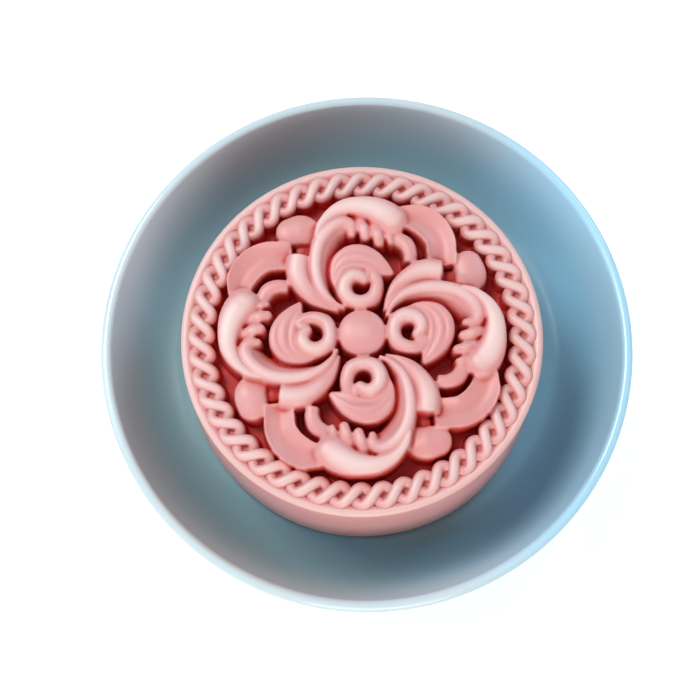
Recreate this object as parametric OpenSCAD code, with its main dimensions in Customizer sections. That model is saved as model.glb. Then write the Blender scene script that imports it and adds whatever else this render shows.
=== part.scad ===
// Hand-plunger mooncake press, with one pressed cake beside it on a shallow dish.
// Millimetres, +Z up. The origin is the centre of the barrel's mouth, which stands on the table.

/* [Barrel] */
// Diameter of the bore that moulds the side of the cake
bore_d = 101; // [94:1:108]
// Wall of the barrel
barrel_wall = 3; // [2.4:0.2:4]
// Depth from the mouth to the rim of the stamp when the plunger is up
cavity_depth = 46; // [46:1:54]
// Thickness of the roof over the bore
roof_t = 4; // [3:0.5:6]
// How far the foot bead stands out from the wall
foot_out = 3; // [2:0.5:4]
// Height of the foot bead
foot_h = 5; // [4:0.5:8]
// Radius of the rounded shoulder
shoulder_r = 8; // [4:0.5:10]
// Number of grip ribs round the barrel
grip_ribs = 36; // [24:1:48]
// Radius of each grip rib
grip_rib_r = 1.3; // [0.8:0.1:1.6]
// Height of the plain wall left under the shoulder and over the foot bead
grip_margin = 5; // [3:0.5:8]
// Number of air vents in the roof
vents = 4; // [3:1:6]
// Diameter of each air vent
vent_d = 7; // [4:0.5:9]
// Distance of the vents from the middle of the roof
vent_at = 32; // [28:0.5:34]

/* [Neck and guide] */
// Height of the neck above the roof
neck_h = 20; // [14:1:24]
// Wall of the neck round the spring
neck_wall = 4; // [3:0.5:6]
// Thickness of the neck's floor above the roof
neck_floor_t = 4; // [3:0.5:6]
// Wall of the guide bush
bush_wall = 3; // [2:0.5:3.5]
// Thickness of the bush's flange
bush_flange_t = 1.2; // [1:0.1:2]

/* [Rod and spring] */
// Diameter of the plunger rod
rod_d = 16; // [14:0.5:18]
// Distance across the rod's two flats
rod_flats = 13.2; // [11.5:0.1:13.6]
// Diameter of the spigot that the knob sits on
spigot_d = 12; // [10:0.5:12.5]
// Length of the spigot
spigot_l = 15.8; // [14:0.2:18]
// Outside diameter of the return spring
spring_d = 26; // [26:0.5:30]
// Diameter of the spring's wire
wire_d = 1.8; // [1.4:0.1:2.2]
// Active turns of the spring
spring_turns = 8; // [7:1:9]
// Length of the spring when the plunger is up
spring_l = 62; // [58:1:68]
// Thickness of each spring seat washer
seat_t = 1; // [0.8:0.1:1.5]
// How far the plunger goes down
stroke = 38; // [30:1:38]

/* [Knob] */
// Diameter of the palm knob
knob_d = 64; // [56:1:72]
// Height of the palm knob
knob_h = 28; // [26:1:32]
// Depth of the recess under the knob that holds the upper end of the spring
knob_recess = 4; // [3:0.5:5]
// Number of finger flutes round the knob
knob_flutes = 12; // [8:1:16]
// Diameter of the cap in the top of the knob
cap_d = 24; // [22:0.5:28]
// Thickness of the cap's disc
cap_t = 2; // [1.6:0.2:3]

/* [Screws] */
// Diameter of the screws' shanks
screw_d = 6; // [5:0.5:6]
// Diameter of the screws' heads
screw_head_d = 11; // [10:0.5:12]
// Height of the knob screw's head
knob_head_h = 3.6; // [3:0.2:4]
// Height of the piston screw's low head
piston_head_h = 2.5; // [2:0.1:3]
// Thickness of the washers under the heads
washer_t = 1; // [0.8:0.1:1.4]

/* [Piston and stamp] */
// Thickness of the piston's disc
piston_t = 4; // [3:0.5:5]
// Height of the piston's skirt
skirt_h = 8; // [6:0.5:9]
// Wall of the piston's skirt
skirt_wall = 2.2; // [1.8:0.2:3]
// Diameter of the piston's hub
hub_d = 26; // [24:0.5:28]
// Height of the piston's hub
hub_h = 12.4; // [11.4:0.2:14]
// Thickness of the stiffening ribs
stiff_t = 2.5; // [2:0.25:3.5]
// Thickness of the stamp plate behind the ornament
stamp_back_t = 3.4; // [3:0.2:5]
// Distance of the stamp's studs from the middle
stud_at = 36; // [33:0.5:38]
// Diameter of each stud's neck
stud_d = 6; // [5:0.5:7]
// Diameter of each stud's head
stud_head_d = 10; // [9:0.5:11]
// Thickness of each stud's head
stud_head_t = 2; // [1.5:0.25:2.5]
// Angle that the stamp turns between locked and free
twist = 22; // [20:1:26]

/* [Cake] */
// Height of the cake from the dish to its rim
cake_h = 38; // [34:1:40]
// How much smaller the cake is than the bore, once it is out
cake_shrink = 1; // [0:0.25:2]
// How far the foot of the cake spreads past its top
cake_spread = 2; // [0.5:0.25:3]
// Thickness of the skin at the side and underneath
skin_t = 6; // [4:0.5:8]
// Diameter of the yolk
yolk_d = 20; // [14:1:20]

/* [Ornament] */
// Height of the highest scroll above the rim
relief_up = 4.7; // [3:0.1:5]
// Depth of the ground between the scrolls below the rim
relief_down = 5.2; // [3:0.1:5.5]
// Number of times the rosette's motif repeats
petals = 4; // [4:1:4]
// Number of twists of the rope border
rope_twists = 24; // [24:1:24]
// Radius of each strand of the rope
strand_r = 1.4; // [1.15:0.05:1.55]
// Width of the rim outside the rope
rim_w = 1.6; // [1.2:0.1:2]

/* [Dish] */
// Diameter of the dish over its rim
dish_d = 154; // [146:1:162]
// Height of the dish
dish_h = 27; // [22:1:32]
// Wall of the dish
dish_wall = 3.2; // [2.6:0.2:4]
// Height of the foot ring
dish_foot_h = 2; // [1.5:0.25:3]
// Diameter of the dish's flat middle
dish_flat_d = 112; // [110:1:116]
// Distance from the press to the dish, middle to middle
dish_away = 166.6; // [160:0.2:180]

/* [Hidden] */
$fn = 96;

// Clearances: between pieces that slide past each other, and between pieces that are fixed together.
slide_gap = 0.3;
rod_gap = 0.06;
fixed_gap = 0.1;
cut = 1;

// Heights of the press, from the table up.
bore_r = bore_d / 2;
barrel_r = bore_r + barrel_wall;
stamp_r = bore_r - slide_gap;
stamp_top_z = cavity_depth + relief_up + stamp_back_t;
piston_z = stamp_top_z + slide_gap;
piston_top_z = piston_z + piston_t;
hub_top_z = piston_z + hub_h;
roof_z = hub_top_z + slide_gap;
roof_top_z = roof_z + roof_t;
neck_floor_z = roof_top_z + neck_floor_t;
neck_top_z = roof_top_z + neck_h;
spring_z = neck_floor_z + bush_flange_t + seat_t;
spring_top_z = spring_z + spring_l;
knob_seat_z = spring_top_z + seat_t;
knob_z = knob_seat_z - knob_recess;
knob_top_z = knob_z + knob_h;
spigot_top_z = knob_seat_z + spigot_l;

// Radii that follow from what goes inside.
rod_r = rod_d / 2;
bush_r = rod_r + bush_wall;
spring_r = spring_d / 2;
seat_r = spring_r + 0.4;
cup_r = seat_r + 0.8;
neck_r = cup_r + neck_wall;
screw_r = screw_d / 2;
screw_head_r = screw_head_d / 2;
screw_in_rod = 14;
knob_screw_l = 20;
washer_r = screw_head_r + 1;

// The hub of the piston: a low recess for the screw's head, a floor, and the socket for the rod.
head_recess_z = piston_z + 0.5 + piston_head_h + washer_t;
rod_z = head_recess_z + 2.7;
head_recess_r = washer_r + slide_gap;

// The knob: a socket for the spigot and a pocket for the washer, the screw's head and the cap.
knob_pocket_z = knob_seat_z + spigot_l - 0.6;
cap_r = cap_d / 2;
cap_seat_z = knob_pocket_z + washer_t + knob_head_h + 0.4;

// The keyhole slots of the piston, one for each stud of the stamp.
studs = 3;
stud_r = stud_d / 2;
stud_head_r = stud_head_d / 2;
slot_r = stud_r + slide_gap;
entry_r = stud_head_r + slide_gap;
stud_neck_top_z = piston_top_z + slide_gap;

// The cake and the dish. The cake lies a little off the middle of the dish.
dish_at = [-dish_away, 3];
cake_at = dish_at + [-1.4, -3];
dish_r = dish_d / 2;
dish_flat_r = dish_flat_d / 2;
dish_floor_z = dish_foot_h + dish_wall - 0.2;
dish_foot_r = 46;
dish_foot_w = 3.4;
cake_r = (bore_d - cake_shrink) / 2;
cake_foot_r = cake_r + cake_spread;
cake_rim_z = dish_floor_z + cake_h;
fill_r = cake_r - skin_t;
fill_z = dish_floor_z + skin_t;
fill_top_z = cake_rim_z - relief_down - skin_t + 1;
fill_round = 7;
yolk_z = (fill_z + fill_top_z) / 2;

function turn(p, a) = [p.x * cos(a) - p.y * sin(a), p.x * sin(a) + p.y * cos(a)];
function arc(at, r, from, to, steps) =
    [for (i = [0 : steps]) let (a = from + (to - from) * i / steps) at + r * [cos(a), sin(a)]];
function polar(r, a, z) = [r * cos(a), r * sin(a), z];

// ---------------------------------------------------------------------------------------------
// The ornament, written for a cake of 50 mm radius and stretched to the piece that carries it.
// A stroke is a list of [x, y, half-width, height above the rim]. The first number of each entry
// says how round it is across: above 0 it is crowned, below 0 it is a trough between two edges.
// The second is 1 where the stroke's last end is nearly square, and 0 where it is round.
// One motif is written with its eye on +X, and the rosette turns it about the middle.

ornament_r = 50;
boss = [0.5, 0, [[0, 0, 6.9, 3.9], [0.1, 0, 6.9, 3.9]]];
motif = [
    // the eye, a volute round a deep hole
    [1, 0, [[17.8, -2.6, 1.3, 3.3], [15.3, -4, 2, 3.7], [12.4, -4, 2.2, 4], [9.8, -2.7, 2.4, 4.1],
            [8.8, 0.2, 2.2, 4.2], [9.4, 3.2, 2.5, 4.3], [11.9, 4.9, 2.6, 4.4], [14.6, 4.5, 2.5, 4.4],
            [16.2, 2.7, 2.3, 4.4], [16.2, 0.9, 2.2, 4.2], [15.4, 0, 1.9, 4]]],
    // the fluted leaf behind the eye
    [0.9, 0, [[13.5, 7.2, 0.9, 2.8], [17.2, 6.1, 1.1, 3.2], [19, 3.4, 1.1, 3.4], [19.2, 0, 1.2, 3.4],
              [18.4, -3.2, 1.3, 3.2], [17.3, -6, 1.1, 2.7], [16.8, -8.2, 0.7, 2.2]]],
    [0.9, 0, [[13, 7.3, 0.8, 2.7], [17.6, 7.2, 1.2, 3.2], [20.7, 4.8, 1.5, 3.6], [21.7, 1.4, 1.6, 3.8],
              [21.2, -2.2, 1.6, 3.6], [19.4, -5.4, 1.3, 3.1], [17.3, -8, 0.7, 2.4]]],
    [0.9, 0, [[11.4, 6.8, 0.7, 2.5], [16.2, 8, 1.1, 3], [20.8, 7.1, 1.5, 3.4], [23.5, 4, 1.8, 3.6],
              [24, 0.2, 1.8, 3.6], [22.6, -3.3, 1.7, 3.3], [20.1, -6.2, 1.3, 2.9], [17.2, -8.8, 0.6, 2.2]]],
    // the scroll: the slope inside it, its inner roll, then its outer band
    [1.1, 0, [[9.4, 7, 1, -2.6], [13.4, 9.8, 2.2, -2.6], [18.4, 10.9, 3.2, -2.4], [23.8, 10.3, 3.7, -2.2],
              [27.9, 8, 3.7, -2], [30.2, 5.2, 3, -1.6]]],
    [1, 0, [[6.8, 5, 0.7, 3.3], [8.9, 8.5, 1.2, 3.9], [12.2, 11.2, 1.6, 4.2], [16.8, 12.7, 1.9, 4.4],
            [21.6, 12.9, 2.1, 4.4], [26.3, 11.8, 2.3, 4.4], [30.1, 9.1, 2.6, 4.3], [32.1, 5.9, 2.6, 4.1],
            [31.9, 3.5, 2, 3.9], [30.3, 2.5, 1.6, 3.7], [28.4, 2.3, 1.1, 3.4]]],
    [0.55, 0, [[26.5, 13.7, 0.7, 4.1], [31.3, 12.2, 1.2, 4.3], [35, 8.8, 1.7, 4.4], [37.1, 4, 2.1, 4.4],
               [37.3, -0.6, 2.4, 4.4], [36.2, -4.6, 3.3, 4.4], [34.2, -7.1, 4.2, 4.4], [32.2, -8.1, 4.5, 4.2]]],
    // the raised edge of the band
    [0.9, 0, [[34.9, 4.4, 0.7, 4.2], [35.3, 1.6, 0.9, 4.5], [34.9, -2.2, 0.9, 4.7], [33, -5.4, 0.9, 4.7],
              [30.4, -8.1, 0.8, 4.4]]],
    // four fingers inside the scroll, side by side
    [1, 0, [[27.3, -1.2, 1.9, 3.7], [29.4, -0.8, 2.1, 4.1], [31.6, 0, 1.8, 3.9], [33.4, 0.9, 1.2, 3.1]]],
    [1, 0, [[26.1, -5.1, 1.9, 3.5], [28.2, -4.6, 2.1, 3.9], [30.4, -3.8, 1.8, 3.7], [32.2, -3, 1.2, 2.9]]],
    [1, 0, [[26.6, -8.3, 1.2, 3], [28.2, -7.8, 1.5, 3.4], [29.8, -7, 1.2, 3]]],
    [0.4, 0, [[33.6, 3, 1.4, 2.2], [32.2, -0.6, 2, 2.2], [30.8, -4.2, 2, 2], [29.9, -6.8, 1.6, 1.6]]],
    // the arm beside the scroll
    [0.75, 1, [[6.1, 6.6, 0.5, 2.6], [7.4, 10.1, 1.2, 3.2], [9.9, 13.8, 2, 3.8], [13.6, 16.9, 2.6, 4.2],
               [17.6, 18.3, 3.2, 4.4], [21.8, 18, 3.1, 4.4]]],
    // the small petal under the scroll
    [0.8, 1, [[27.6, -10, 2.4, 2.4], [26, -12.4, 2.5, 2.7], [23.4, -13.5, 2.3, 2.7], [20.7, -13.5, 2.1, 2.4]]],
    // the hollow leaf outside it
    [-0.5, 1, [[34.1, -12, 3.4, 3.1], [33.3, -16, 4.4, 3.4], [30.7, -19.7, 4.7, 3.5], [27.3, -21.8, 4.6, 3.5],
               [23.8, -22.3, 4.5, 3.3], [20.6, -22.3, 4.3, 3]]],
    // the round petal and the bead between two motifs
    [0.75, 0, [[29.6, 13.9, 3.1, 1.7], [30.9, 16.9, 4, 2.3], [30.1, 20.5, 3.9, 2.2]]],
    [0.5, 0, [[24.5, 16.9, 2.3, -0.4], [24.7, 16.9, 2.3, -0.4]]]
];
motif_box = [for (s = motif) [
    min([for (p = s[2]) p[0] - p[2]]), max([for (p = s[2]) p[0] + p[2]]),
    min([for (p = s[2]) p[1] - p[2]]), max([for (p = s[2]) p[1] + p[2]])]];

ground = -relief_down;
top_of_motif = 4.7;
rope_r = ornament_r - 5.4;
rope_swing = 2.5;
rope_lift = 0.6;
rope_top = 0.5;
rope_bed = -1.5;
rope_in_r = 42.2;
rope_out_r = 47.2;
outer_bed = -0.4;
square_end = 0.3;

// How far across a stretch of stroke a point lies (1 is its edge), with the height and width there.
function across(p, a, b) =
    let (along = [b[0] - a[0], b[1] - a[1]],
         length = norm(along),
         from_a = [p.x - a[0], p.y - a[1]],
         run = (from_a * along) / (length * length),
         aside = (from_a.y * along.x - from_a.x * along.y) / length,
         t = max(0, min(1, run)),
         past = abs(run - t) * length,
         w = a[2] + (b[2] - a[2]) * t)
    [norm([past, aside]) / w, a[3] + (b[3] - a[3]) * t, w];
function nearest(found) = let (least = min([for (f = found) f[0]])) [for (f = found) if (f[0] == least) f][0];

// How far a point lies past the end of a stroke from a to b, where that end is nearly square.
function past_square(p, a, b) =
    let (along = [b[0] - a[0], b[1] - a[1]] / norm([b[0] - a[0], b[1] - a[1]]),
         from_b = [p.x - b[0], p.y - b[1]],
         beyond = from_b * along)
    beyond > 0 ? norm([beyond / square_end, from_b.y * along.x - from_b.x * along.y]) / b[2] : 0;

function stroke_z(p, stroke) =
    let (crown = stroke[0], pts = stroke[2], last = len(pts) - 2,
         n = nearest([for (i = [0 : last]) across(p, pts[i], pts[i + 1])]),
         q = stroke[1] == 1 ? max(n[0], past_square(p, pts[last], pts[last + 1])) : n[0])
    q >= 1 ? ground : crown > 0 ? n[1] - crown * n[2] * (1 - sqrt(1 - q * q)) : n[1] + crown * n[2] * (1 - q * q);
function motif_z(p) =
    max([ground, for (i = [0 : len(motif) - 1]) let (b = motif_box[i])
        if (p.x > b[0] && p.x < b[1] && p.y > b[2] && p.y < b[3]) stroke_z(p, motif[i])]);
function rosette_z(p) =
    max([stroke_z(p, boss), for (k = [0 : petals - 1]) motif_z(turn(p, -360 / petals * k))]);

// One strand of the rope: how far across it a point lies, taken square to the strand.
function strand_z(r, a, side) =
    let (w = rope_twists * a,
         off = r - rope_r - side * rope_swing * cos(w),
         slope = rope_swing * rope_twists * sin(w) / rope_r,
         q = abs(off) / sqrt(1 + slope * slope) / strand_r)
    q >= 1 ? ground : rope_top + rope_lift * side * sin(w) - strand_r * (1 - sqrt(1 - q * q));
function bed_z(r) = r < rope_out_r ? rope_bed : outer_bed;

// The height of the whole ornament over the rim, at a radius and an angle.
function relief_z(r, a) =
    let (under = r <= rope_in_r ? rosette_z([r * cos(a), r * sin(a)]) : bed_z(r),
         z = r > rope_r - rope_swing - strand_r ? max(under, strand_z(r, a, 1), strand_z(r, a, -1)) : under)
    z > 0 ? z * relief_up / top_of_motif : z;

// A disc of points: rings of 6, 12, 18 ... points, then rings of the last count over the rope.
function ring_start(k) = k == 0 ? 0 : 1 + 3 * k * (k - 1);
function disc_points(inner) = [
    [0, 0, relief_z(0, 0)],
    for (k = [1 : inner]) for (j = [0 : 6 * k - 1])
        let (r = rope_in_r * k / inner, a = 60 * j / k) polar(r, a, relief_z(r, a))];
function disc_faces(inner) = [
    for (k = [0 : inner - 1]) for (s = [0 : 5])
        each concat(
            [for (i = [0 : k]) [ring_at(k, s * k + i), ring_at(k + 1, s * (k + 1) + i),
                                ring_at(k + 1, s * (k + 1) + i + 1)]],
            k == 0 ? [] : [for (i = [0 : k - 1]) [ring_at(k, s * k + i),
                                ring_at(k + 1, s * (k + 1) + i + 1), ring_at(k, s * k + i + 1)]])];
function ring_at(k, j) = k == 0 ? 0 : ring_start(k) + j % (6 * k);
function band_faces(first, rings, n) = [
    for (k = [0 : rings - 2]) for (j = [0 : n - 1])
        let (a = first + k * n + j, b = first + k * n + (j + 1) % n)
        each [[a, a + n, b + n], [a, b + n, b]]];

// Radii of the rings over the rope, between the rosette's ground and the rim.
function rope_rings() = [for (t = [0.13, 0.29, 0.45, 0.61, 0.77, 0.89, 1]) rope_in_r + t * (ornament_r - rim_w - rope_in_r)];

// The moulded top, closed by side rings of [radius, height] and a flat end. Its outer radius is r.
function moulded_points(inner, r, side) =
    let (k = r / ornament_r, n = 6 * inner)
    concat(
        [for (p = disc_points(inner)) [p.x * k, p.y * k, p.z]],
        [for (ring = rope_rings()) for (j = [0 : n - 1]) let (a = 360 * j / n)
            polar(ring * k, a, ring < ornament_r - rim_w ? relief_z(ring, a) : 0)],
        [for (s = side) for (j = [0 : n - 1]) polar(s[0], 360 * j / n, s[1])],
        [[0, 0, side[len(side) - 1][1]]]);
function moulded_faces(inner, side_count) =
    let (n = 6 * inner, last = ring_start(inner), rings = 1 + len(rope_rings()) + side_count,
         end = last + (rings - 1) * n)
    concat(disc_faces(inner), band_faces(last, rings, n),
           [for (j = [0 : n - 1]) [end + j, end + n, end + (j + 1) % n]]);

// ---------------------------------------------------------------------------------------------
// The press

module ring_of(count, first = 0) {
    for (i = [0 : count - 1]) rotate([0, 0, first + 360 / count * i]) children();
}

module tube(r_out, r_in, z, h) {
    translate([0, 0, z]) difference() {
        cylinder(r = r_out, h = h);
        translate([0, 0, -cut]) cylinder(r = r_in, h = h + 2 * cut);
    }
}

module barrel() {
    wall = concat(
        [[bore_r, 0], [barrel_r + foot_out - 1, 0], [barrel_r + foot_out, 1], [barrel_r + foot_out, foot_h - 2],
         [barrel_r, foot_h]],
        arc([barrel_r - shoulder_r, roof_top_z - shoulder_r], shoulder_r, 0, 90, 12),
        arc([neck_r + 3, roof_top_z + 3], 3, 270, 180, 6),
        [[neck_r, neck_top_z - 1], [neck_r - 1, neck_top_z], [cup_r + 0.8, neck_top_z], [cup_r, neck_top_z - 0.8],
         [cup_r, neck_floor_z], [bush_r + fixed_gap, neck_floor_z], [bush_r + fixed_gap, roof_z], [bore_r, roof_z]]);
    rib_z = foot_h + grip_margin;
    rib_h = roof_top_z - shoulder_r - grip_margin - rib_z;
    color("ivory") difference() {
        union() {
            rotate_extrude() polygon(wall);
            ring_of(grip_ribs) translate([barrel_r - 0.2, 0, rib_z]) cylinder(r = grip_rib_r, h = rib_h, $fn = 24);
        }
        ring_of(vents, 45) translate([vent_at, 0, roof_z - cut]) cylinder(d = vent_d, h = roof_t + 2 * cut);
    }
}

// The rod's section: a circle with two flats.
module rod_section(grow = 0) {
    intersection() {
        circle(r = rod_r + grow);
        square([2 * rod_d, rod_flats + 2 * grow], center = true);
    }
}

module guide_bush() {
    color("dimgray") difference() {
        union() {
            translate([0, 0, roof_z]) cylinder(r = bush_r, h = neck_floor_z - roof_z);
            translate([0, 0, neck_floor_z]) cylinder(r = seat_r, h = bush_flange_t);
        }
        translate([0, 0, roof_z - cut])
            linear_extrude(neck_floor_z - roof_z + bush_flange_t + 2 * cut) rod_section(rod_gap);
    }
}

module lower_spring_seat() {
    color("silver") tube(seat_r, rod_r + 0.6, spring_z - seat_t, seat_t);
}

module upper_spring_seat() {
    color("silver") tube(seat_r, rod_r + 0.6, spring_top_z, seat_t);
}

// The spring: closed turns at both ends, open turns between, one unbroken tube.
end_turns = 1;
end_pitch = wire_d + 0.6;
active_pitch = (spring_l - wire_d - 2 * end_turns * end_pitch) / spring_turns;
all_turns = spring_turns + 2 * end_turns;
rings_per_turn = 8;
function spring_climb(t) = t < end_turns ? t * end_pitch
    : t < end_turns + spring_turns ? end_turns * end_pitch + (t - end_turns) * active_pitch
    : end_turns * end_pitch + spring_turns * active_pitch + (t - end_turns - spring_turns) * end_pitch;
spring_path = [for (i = [0 : all_turns * rings_per_turn]) let (t = i / rings_per_turn)
    polar(spring_r - wire_d / 2, 360 * t, spring_z + wire_d / 2 + spring_climb(t))];
spring_self_gap = min([for (i = [0 : len(spring_path) - 1 - rings_per_turn])
    for (j = [-1 : 1]) if (i + rings_per_turn + j < len(spring_path))
        norm(spring_path[i + rings_per_turn + j] - spring_path[i])]) - wire_d;
echo(str("least gap between the spring's turns: ", spring_self_gap, " mm"));

// A closed tube along a list of points that climbs round the Z axis.
module wound_tube(path, r, sides = 6) {
    n = len(path);
    points = [for (i = [0 : n - 1]) let (
            ahead = path[min(i + 1, n - 1)] - path[max(i - 1, 0)],
            along = ahead / norm(ahead),
            out = [path[i].x, path[i].y, 0] / norm([path[i].x, path[i].y]),
            side = cross(along, out),
            across = side / norm(side),
            up = cross(across, along))
        for (s = [0 : sides - 1]) path[i] + r * (cos(360 * s / sides) * up + sin(360 * s / sides) * across)];
    walls = [for (i = [0 : n - 2]) for (s = [0 : sides - 1])
        let (a = i * sides + s, b = i * sides + (s + 1) % sides)
        each [[a, b, b + sides], [a, b + sides, a + sides]]];
    first = [for (s = [1 : sides - 2]) [0, s + 1, s]];
    last = [for (s = [1 : sides - 2]) let (k = (n - 1) * sides) [k, k + s, k + s + 1]];
    polyhedron(points, concat(walls, first, last), convexity = 10);
}

module return_spring() {
    color("silver") wound_tube(spring_path, wire_d / 2);
}

module plunger_rod() {
    color("lightgray") difference() {
        union() {
            translate([0, 0, rod_z]) linear_extrude(knob_seat_z - rod_z) rod_section();
            translate([0, 0, knob_seat_z - cut]) cylinder(d = spigot_d, h = spigot_l - 1 + cut);
        }
        translate([0, 0, rod_z - cut]) cylinder(r = screw_r + fixed_gap, h = screw_in_rod + 2 + cut, $fn = 48);
        translate([0, 0, spigot_top_z - knob_screw_l - 2])
            cylinder(r = screw_r + fixed_gap, h = knob_screw_l + 2 + cut, $fn = 48);
    }
}

module knob() {
    knob_r = knob_d / 2;
    crown = concat(
        [[cup_r, knob_z], [knob_r - 9, knob_z]],
        arc([knob_r - 8, knob_z + 8], 8, 270, 360, 8),
        [[knob_r, knob_top_z - 11]],
        [for (a = [10 : 10 : 80]) [cap_r + 2 + (knob_r - cap_r - 2) * cos(a), knob_top_z - 11 + 11 * sin(a)]],
        [[cap_r + 1, knob_top_z], [cap_r + fixed_gap, knob_top_z - 0.6], [cap_r + fixed_gap, cap_seat_z],
         [washer_r + 0.6, cap_seat_z], [washer_r + 0.6, knob_pocket_z], [spigot_d / 2 + fixed_gap, knob_pocket_z],
         [spigot_d / 2 + fixed_gap, knob_seat_z], [cup_r, knob_seat_z]]);
    color("lightcoral") difference() {
        rotate_extrude() polygon(crown);
        ring_of(knob_flutes) translate([knob_r + 5, 0, knob_z - cut]) cylinder(r = 6.6, h = knob_h - 8, $fn = 48);
    }
}

module knob_washer() {
    color("silver") tube(washer_r, screw_r + 0.2, knob_pocket_z, washer_t);
}

module knob_screw() {
    head_z = knob_pocket_z + washer_t;
    color("gainsboro") difference() {
        union() {
            translate([0, 0, head_z]) cylinder(r = screw_head_r, h = knob_head_h);
            translate([0, 0, spigot_top_z - knob_screw_l])
                cylinder(r = screw_r, h = head_z - spigot_top_z + knob_screw_l + cut, $fn = 48);
        }
        cross_recess(head_z + knob_head_h, 2);
    }
}

module knob_cap() {
    color("lightcoral") {
        translate([0, 0, cap_seat_z]) cylinder(r = cap_r, h = cap_t);
        translate([0, 0, cap_seat_z + cap_t]) intersection() {
            translate([0, 0, 1.2 - cap_r * 5]) sphere(r = cap_r * 5, $fn = 240);
            cylinder(r = cap_r - 0.6, h = 2);
        }
    }
}

// The cross in a screw's head, sunk from z by depth, or up into it where depth is below 0.
module cross_recess(z, depth) {
    for (a = [0, 90]) rotate([0, 0, a])
        translate([-3, -0.6, depth > 0 ? z - depth : z - cut]) cube([6, 1.2, abs(depth) + cut]);
}

module piston() {
    skirt_r = bore_r - slide_gap;
    color("whitesmoke") difference() {
        union() {
            translate([0, 0, piston_z]) cylinder(r = skirt_r, h = piston_t);
            tube(skirt_r, skirt_r - skirt_wall, piston_z, skirt_h);
            translate([0, 0, piston_z]) cylinder(d = hub_d, h = hub_h);
            for (a = [45, 75, 105]) ring_of(studs, a)
                translate([hub_d / 2 - cut, -stiff_t / 2, piston_top_z - cut])
                    cube([skirt_r - skirt_wall - hub_d / 2 + 2 * cut, stiff_t, skirt_h - piston_t - 1 + cut]);
        }
        translate([0, 0, rod_z]) cylinder(r = rod_r + fixed_gap, h = hub_h);
        translate([0, 0, piston_z - cut]) cylinder(r = screw_r + 0.3, h = hub_h, $fn = 48);
        translate([0, 0, piston_z - cut]) cylinder(r = head_recess_r, h = head_recess_z - piston_z + cut);
        ring_of(studs) keyhole();
    }
}

// One keyhole: a slot along an arc for the stud's neck, with a hole at its end for the head.
module keyhole() {
    depth = piston_t + 2 * cut;
    translate([0, 0, piston_z - cut]) {
        rotate_extrude(angle = twist) translate([stud_at - slot_r, 0]) square([2 * slot_r, depth]);
        translate([stud_at, 0, 0]) cylinder(r = slot_r, h = depth, $fn = 48);
        rotate([0, 0, twist]) translate([stud_at, 0, 0]) cylinder(r = entry_r, h = depth, $fn = 48);
    }
}

module piston_washer() {
    color("silver") tube(washer_r, screw_r + 0.2, head_recess_z - washer_t, washer_t);
}

module piston_screw() {
    head_z = head_recess_z - washer_t - piston_head_h;
    color("gainsboro") difference() {
        union() {
            translate([0, 0, head_z]) cylinder(r = screw_head_r, h = piston_head_h);
            translate([0, 0, head_z + cut]) cylinder(r = screw_r, h = rod_z + screw_in_rod - head_z - cut, $fn = 48);
        }
        cross_recess(head_z, -1.4);
    }
}

module stamp_plate() {
    inner = 24;
    top = stamp_top_z - cavity_depth;
    side = [[stamp_r, -0.5], [stamp_r, top - 1], [stamp_r - 1, top]];
    color("ivory") union() {
        translate([0, 0, cavity_depth])
            polyhedron(moulded_points(inner, stamp_r, side), moulded_faces(inner, len(side)), convexity = 10);
        ring_of(studs) translate([stud_at, 0, stamp_top_z - cut]) {
            cylinder(r = stud_r, h = stud_neck_top_z - stamp_top_z + cut + cut, $fn = 48);
            translate([0, 0, stud_neck_top_z - stamp_top_z + cut]) cylinder(r = stud_head_r, h = stud_head_t, $fn = 48);
        }
    }
}
function flipped(faces) = [for (f = faces) [f[0], f[2], f[1]]];

// ---------------------------------------------------------------------------------------------
// The cake and the dish

module on_dish() {
    translate([cake_at.x, cake_at.y, 0]) children();
}

module cake_body() {
    inner = 32;
    side = [[cake_r, -0.9], [cake_r + cake_spread * 0.2, -4], [cake_r + cake_spread * 0.5, -cake_h * 0.7],
            [cake_foot_r, 2 - cake_h], [cake_foot_r - 1.2, -cake_h]];
    translate([0, 0, cake_rim_z])
        polyhedron(moulded_points(inner, cake_r, side), flipped(moulded_faces(inner, len(side))), convexity = 10);
}

// A flat round lump with rounded corners, and its size.
module lump(r, z, top, round) {
    rotate_extrude() polygon(concat([[0, z]], arc([r - round, z + round], round, 270, 360, 10),
        arc([r - round, top - round], round, 0, 90, 10), [[0, top]]));
}

module cake_skin() {
    color("pink") on_dish() difference() {
        cake_body();
        lump(fill_r, fill_z, fill_top_z, fill_round);
    }
}

module cake_filling() {
    color("darkred") on_dish() difference() {
        lump(fill_r - fixed_gap, fill_z + fixed_gap, fill_top_z - fixed_gap, fill_round - fixed_gap);
        translate([0, 0, yolk_z]) sphere(d = yolk_d, $fn = 64);
    }
}

module cake_yolk() {
    color("orange") on_dish() translate([0, 0, yolk_z]) sphere(d = yolk_d - 2 * fixed_gap, $fn = 64);
}

// The dish's inside rises from the flat middle in one curve; its outside lies one wall away.
rise = 62;
rim_round = dish_wall / 2;
dish_run = dish_r - rim_round - dish_flat_r - rim_round * sin(rise);
dish_climb = dish_h - rim_round - dish_floor_z + rim_round * cos(rise) - rim_round * 0.4;
function dish_inside(t) = [dish_flat_r + dish_run * sin(t) / sin(rise),
                           dish_floor_z + dish_climb * (1 - cos(t)) / (1 - cos(rise))];
function dish_out(t) =
    let (d = [dish_run * cos(t) / sin(rise), dish_climb * sin(t) / (1 - cos(rise))], n = [d.y, -d.x] / norm(d))
    n;
function dish_outside(t) = dish_inside(t) + dish_wall * dish_out(t);

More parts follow.
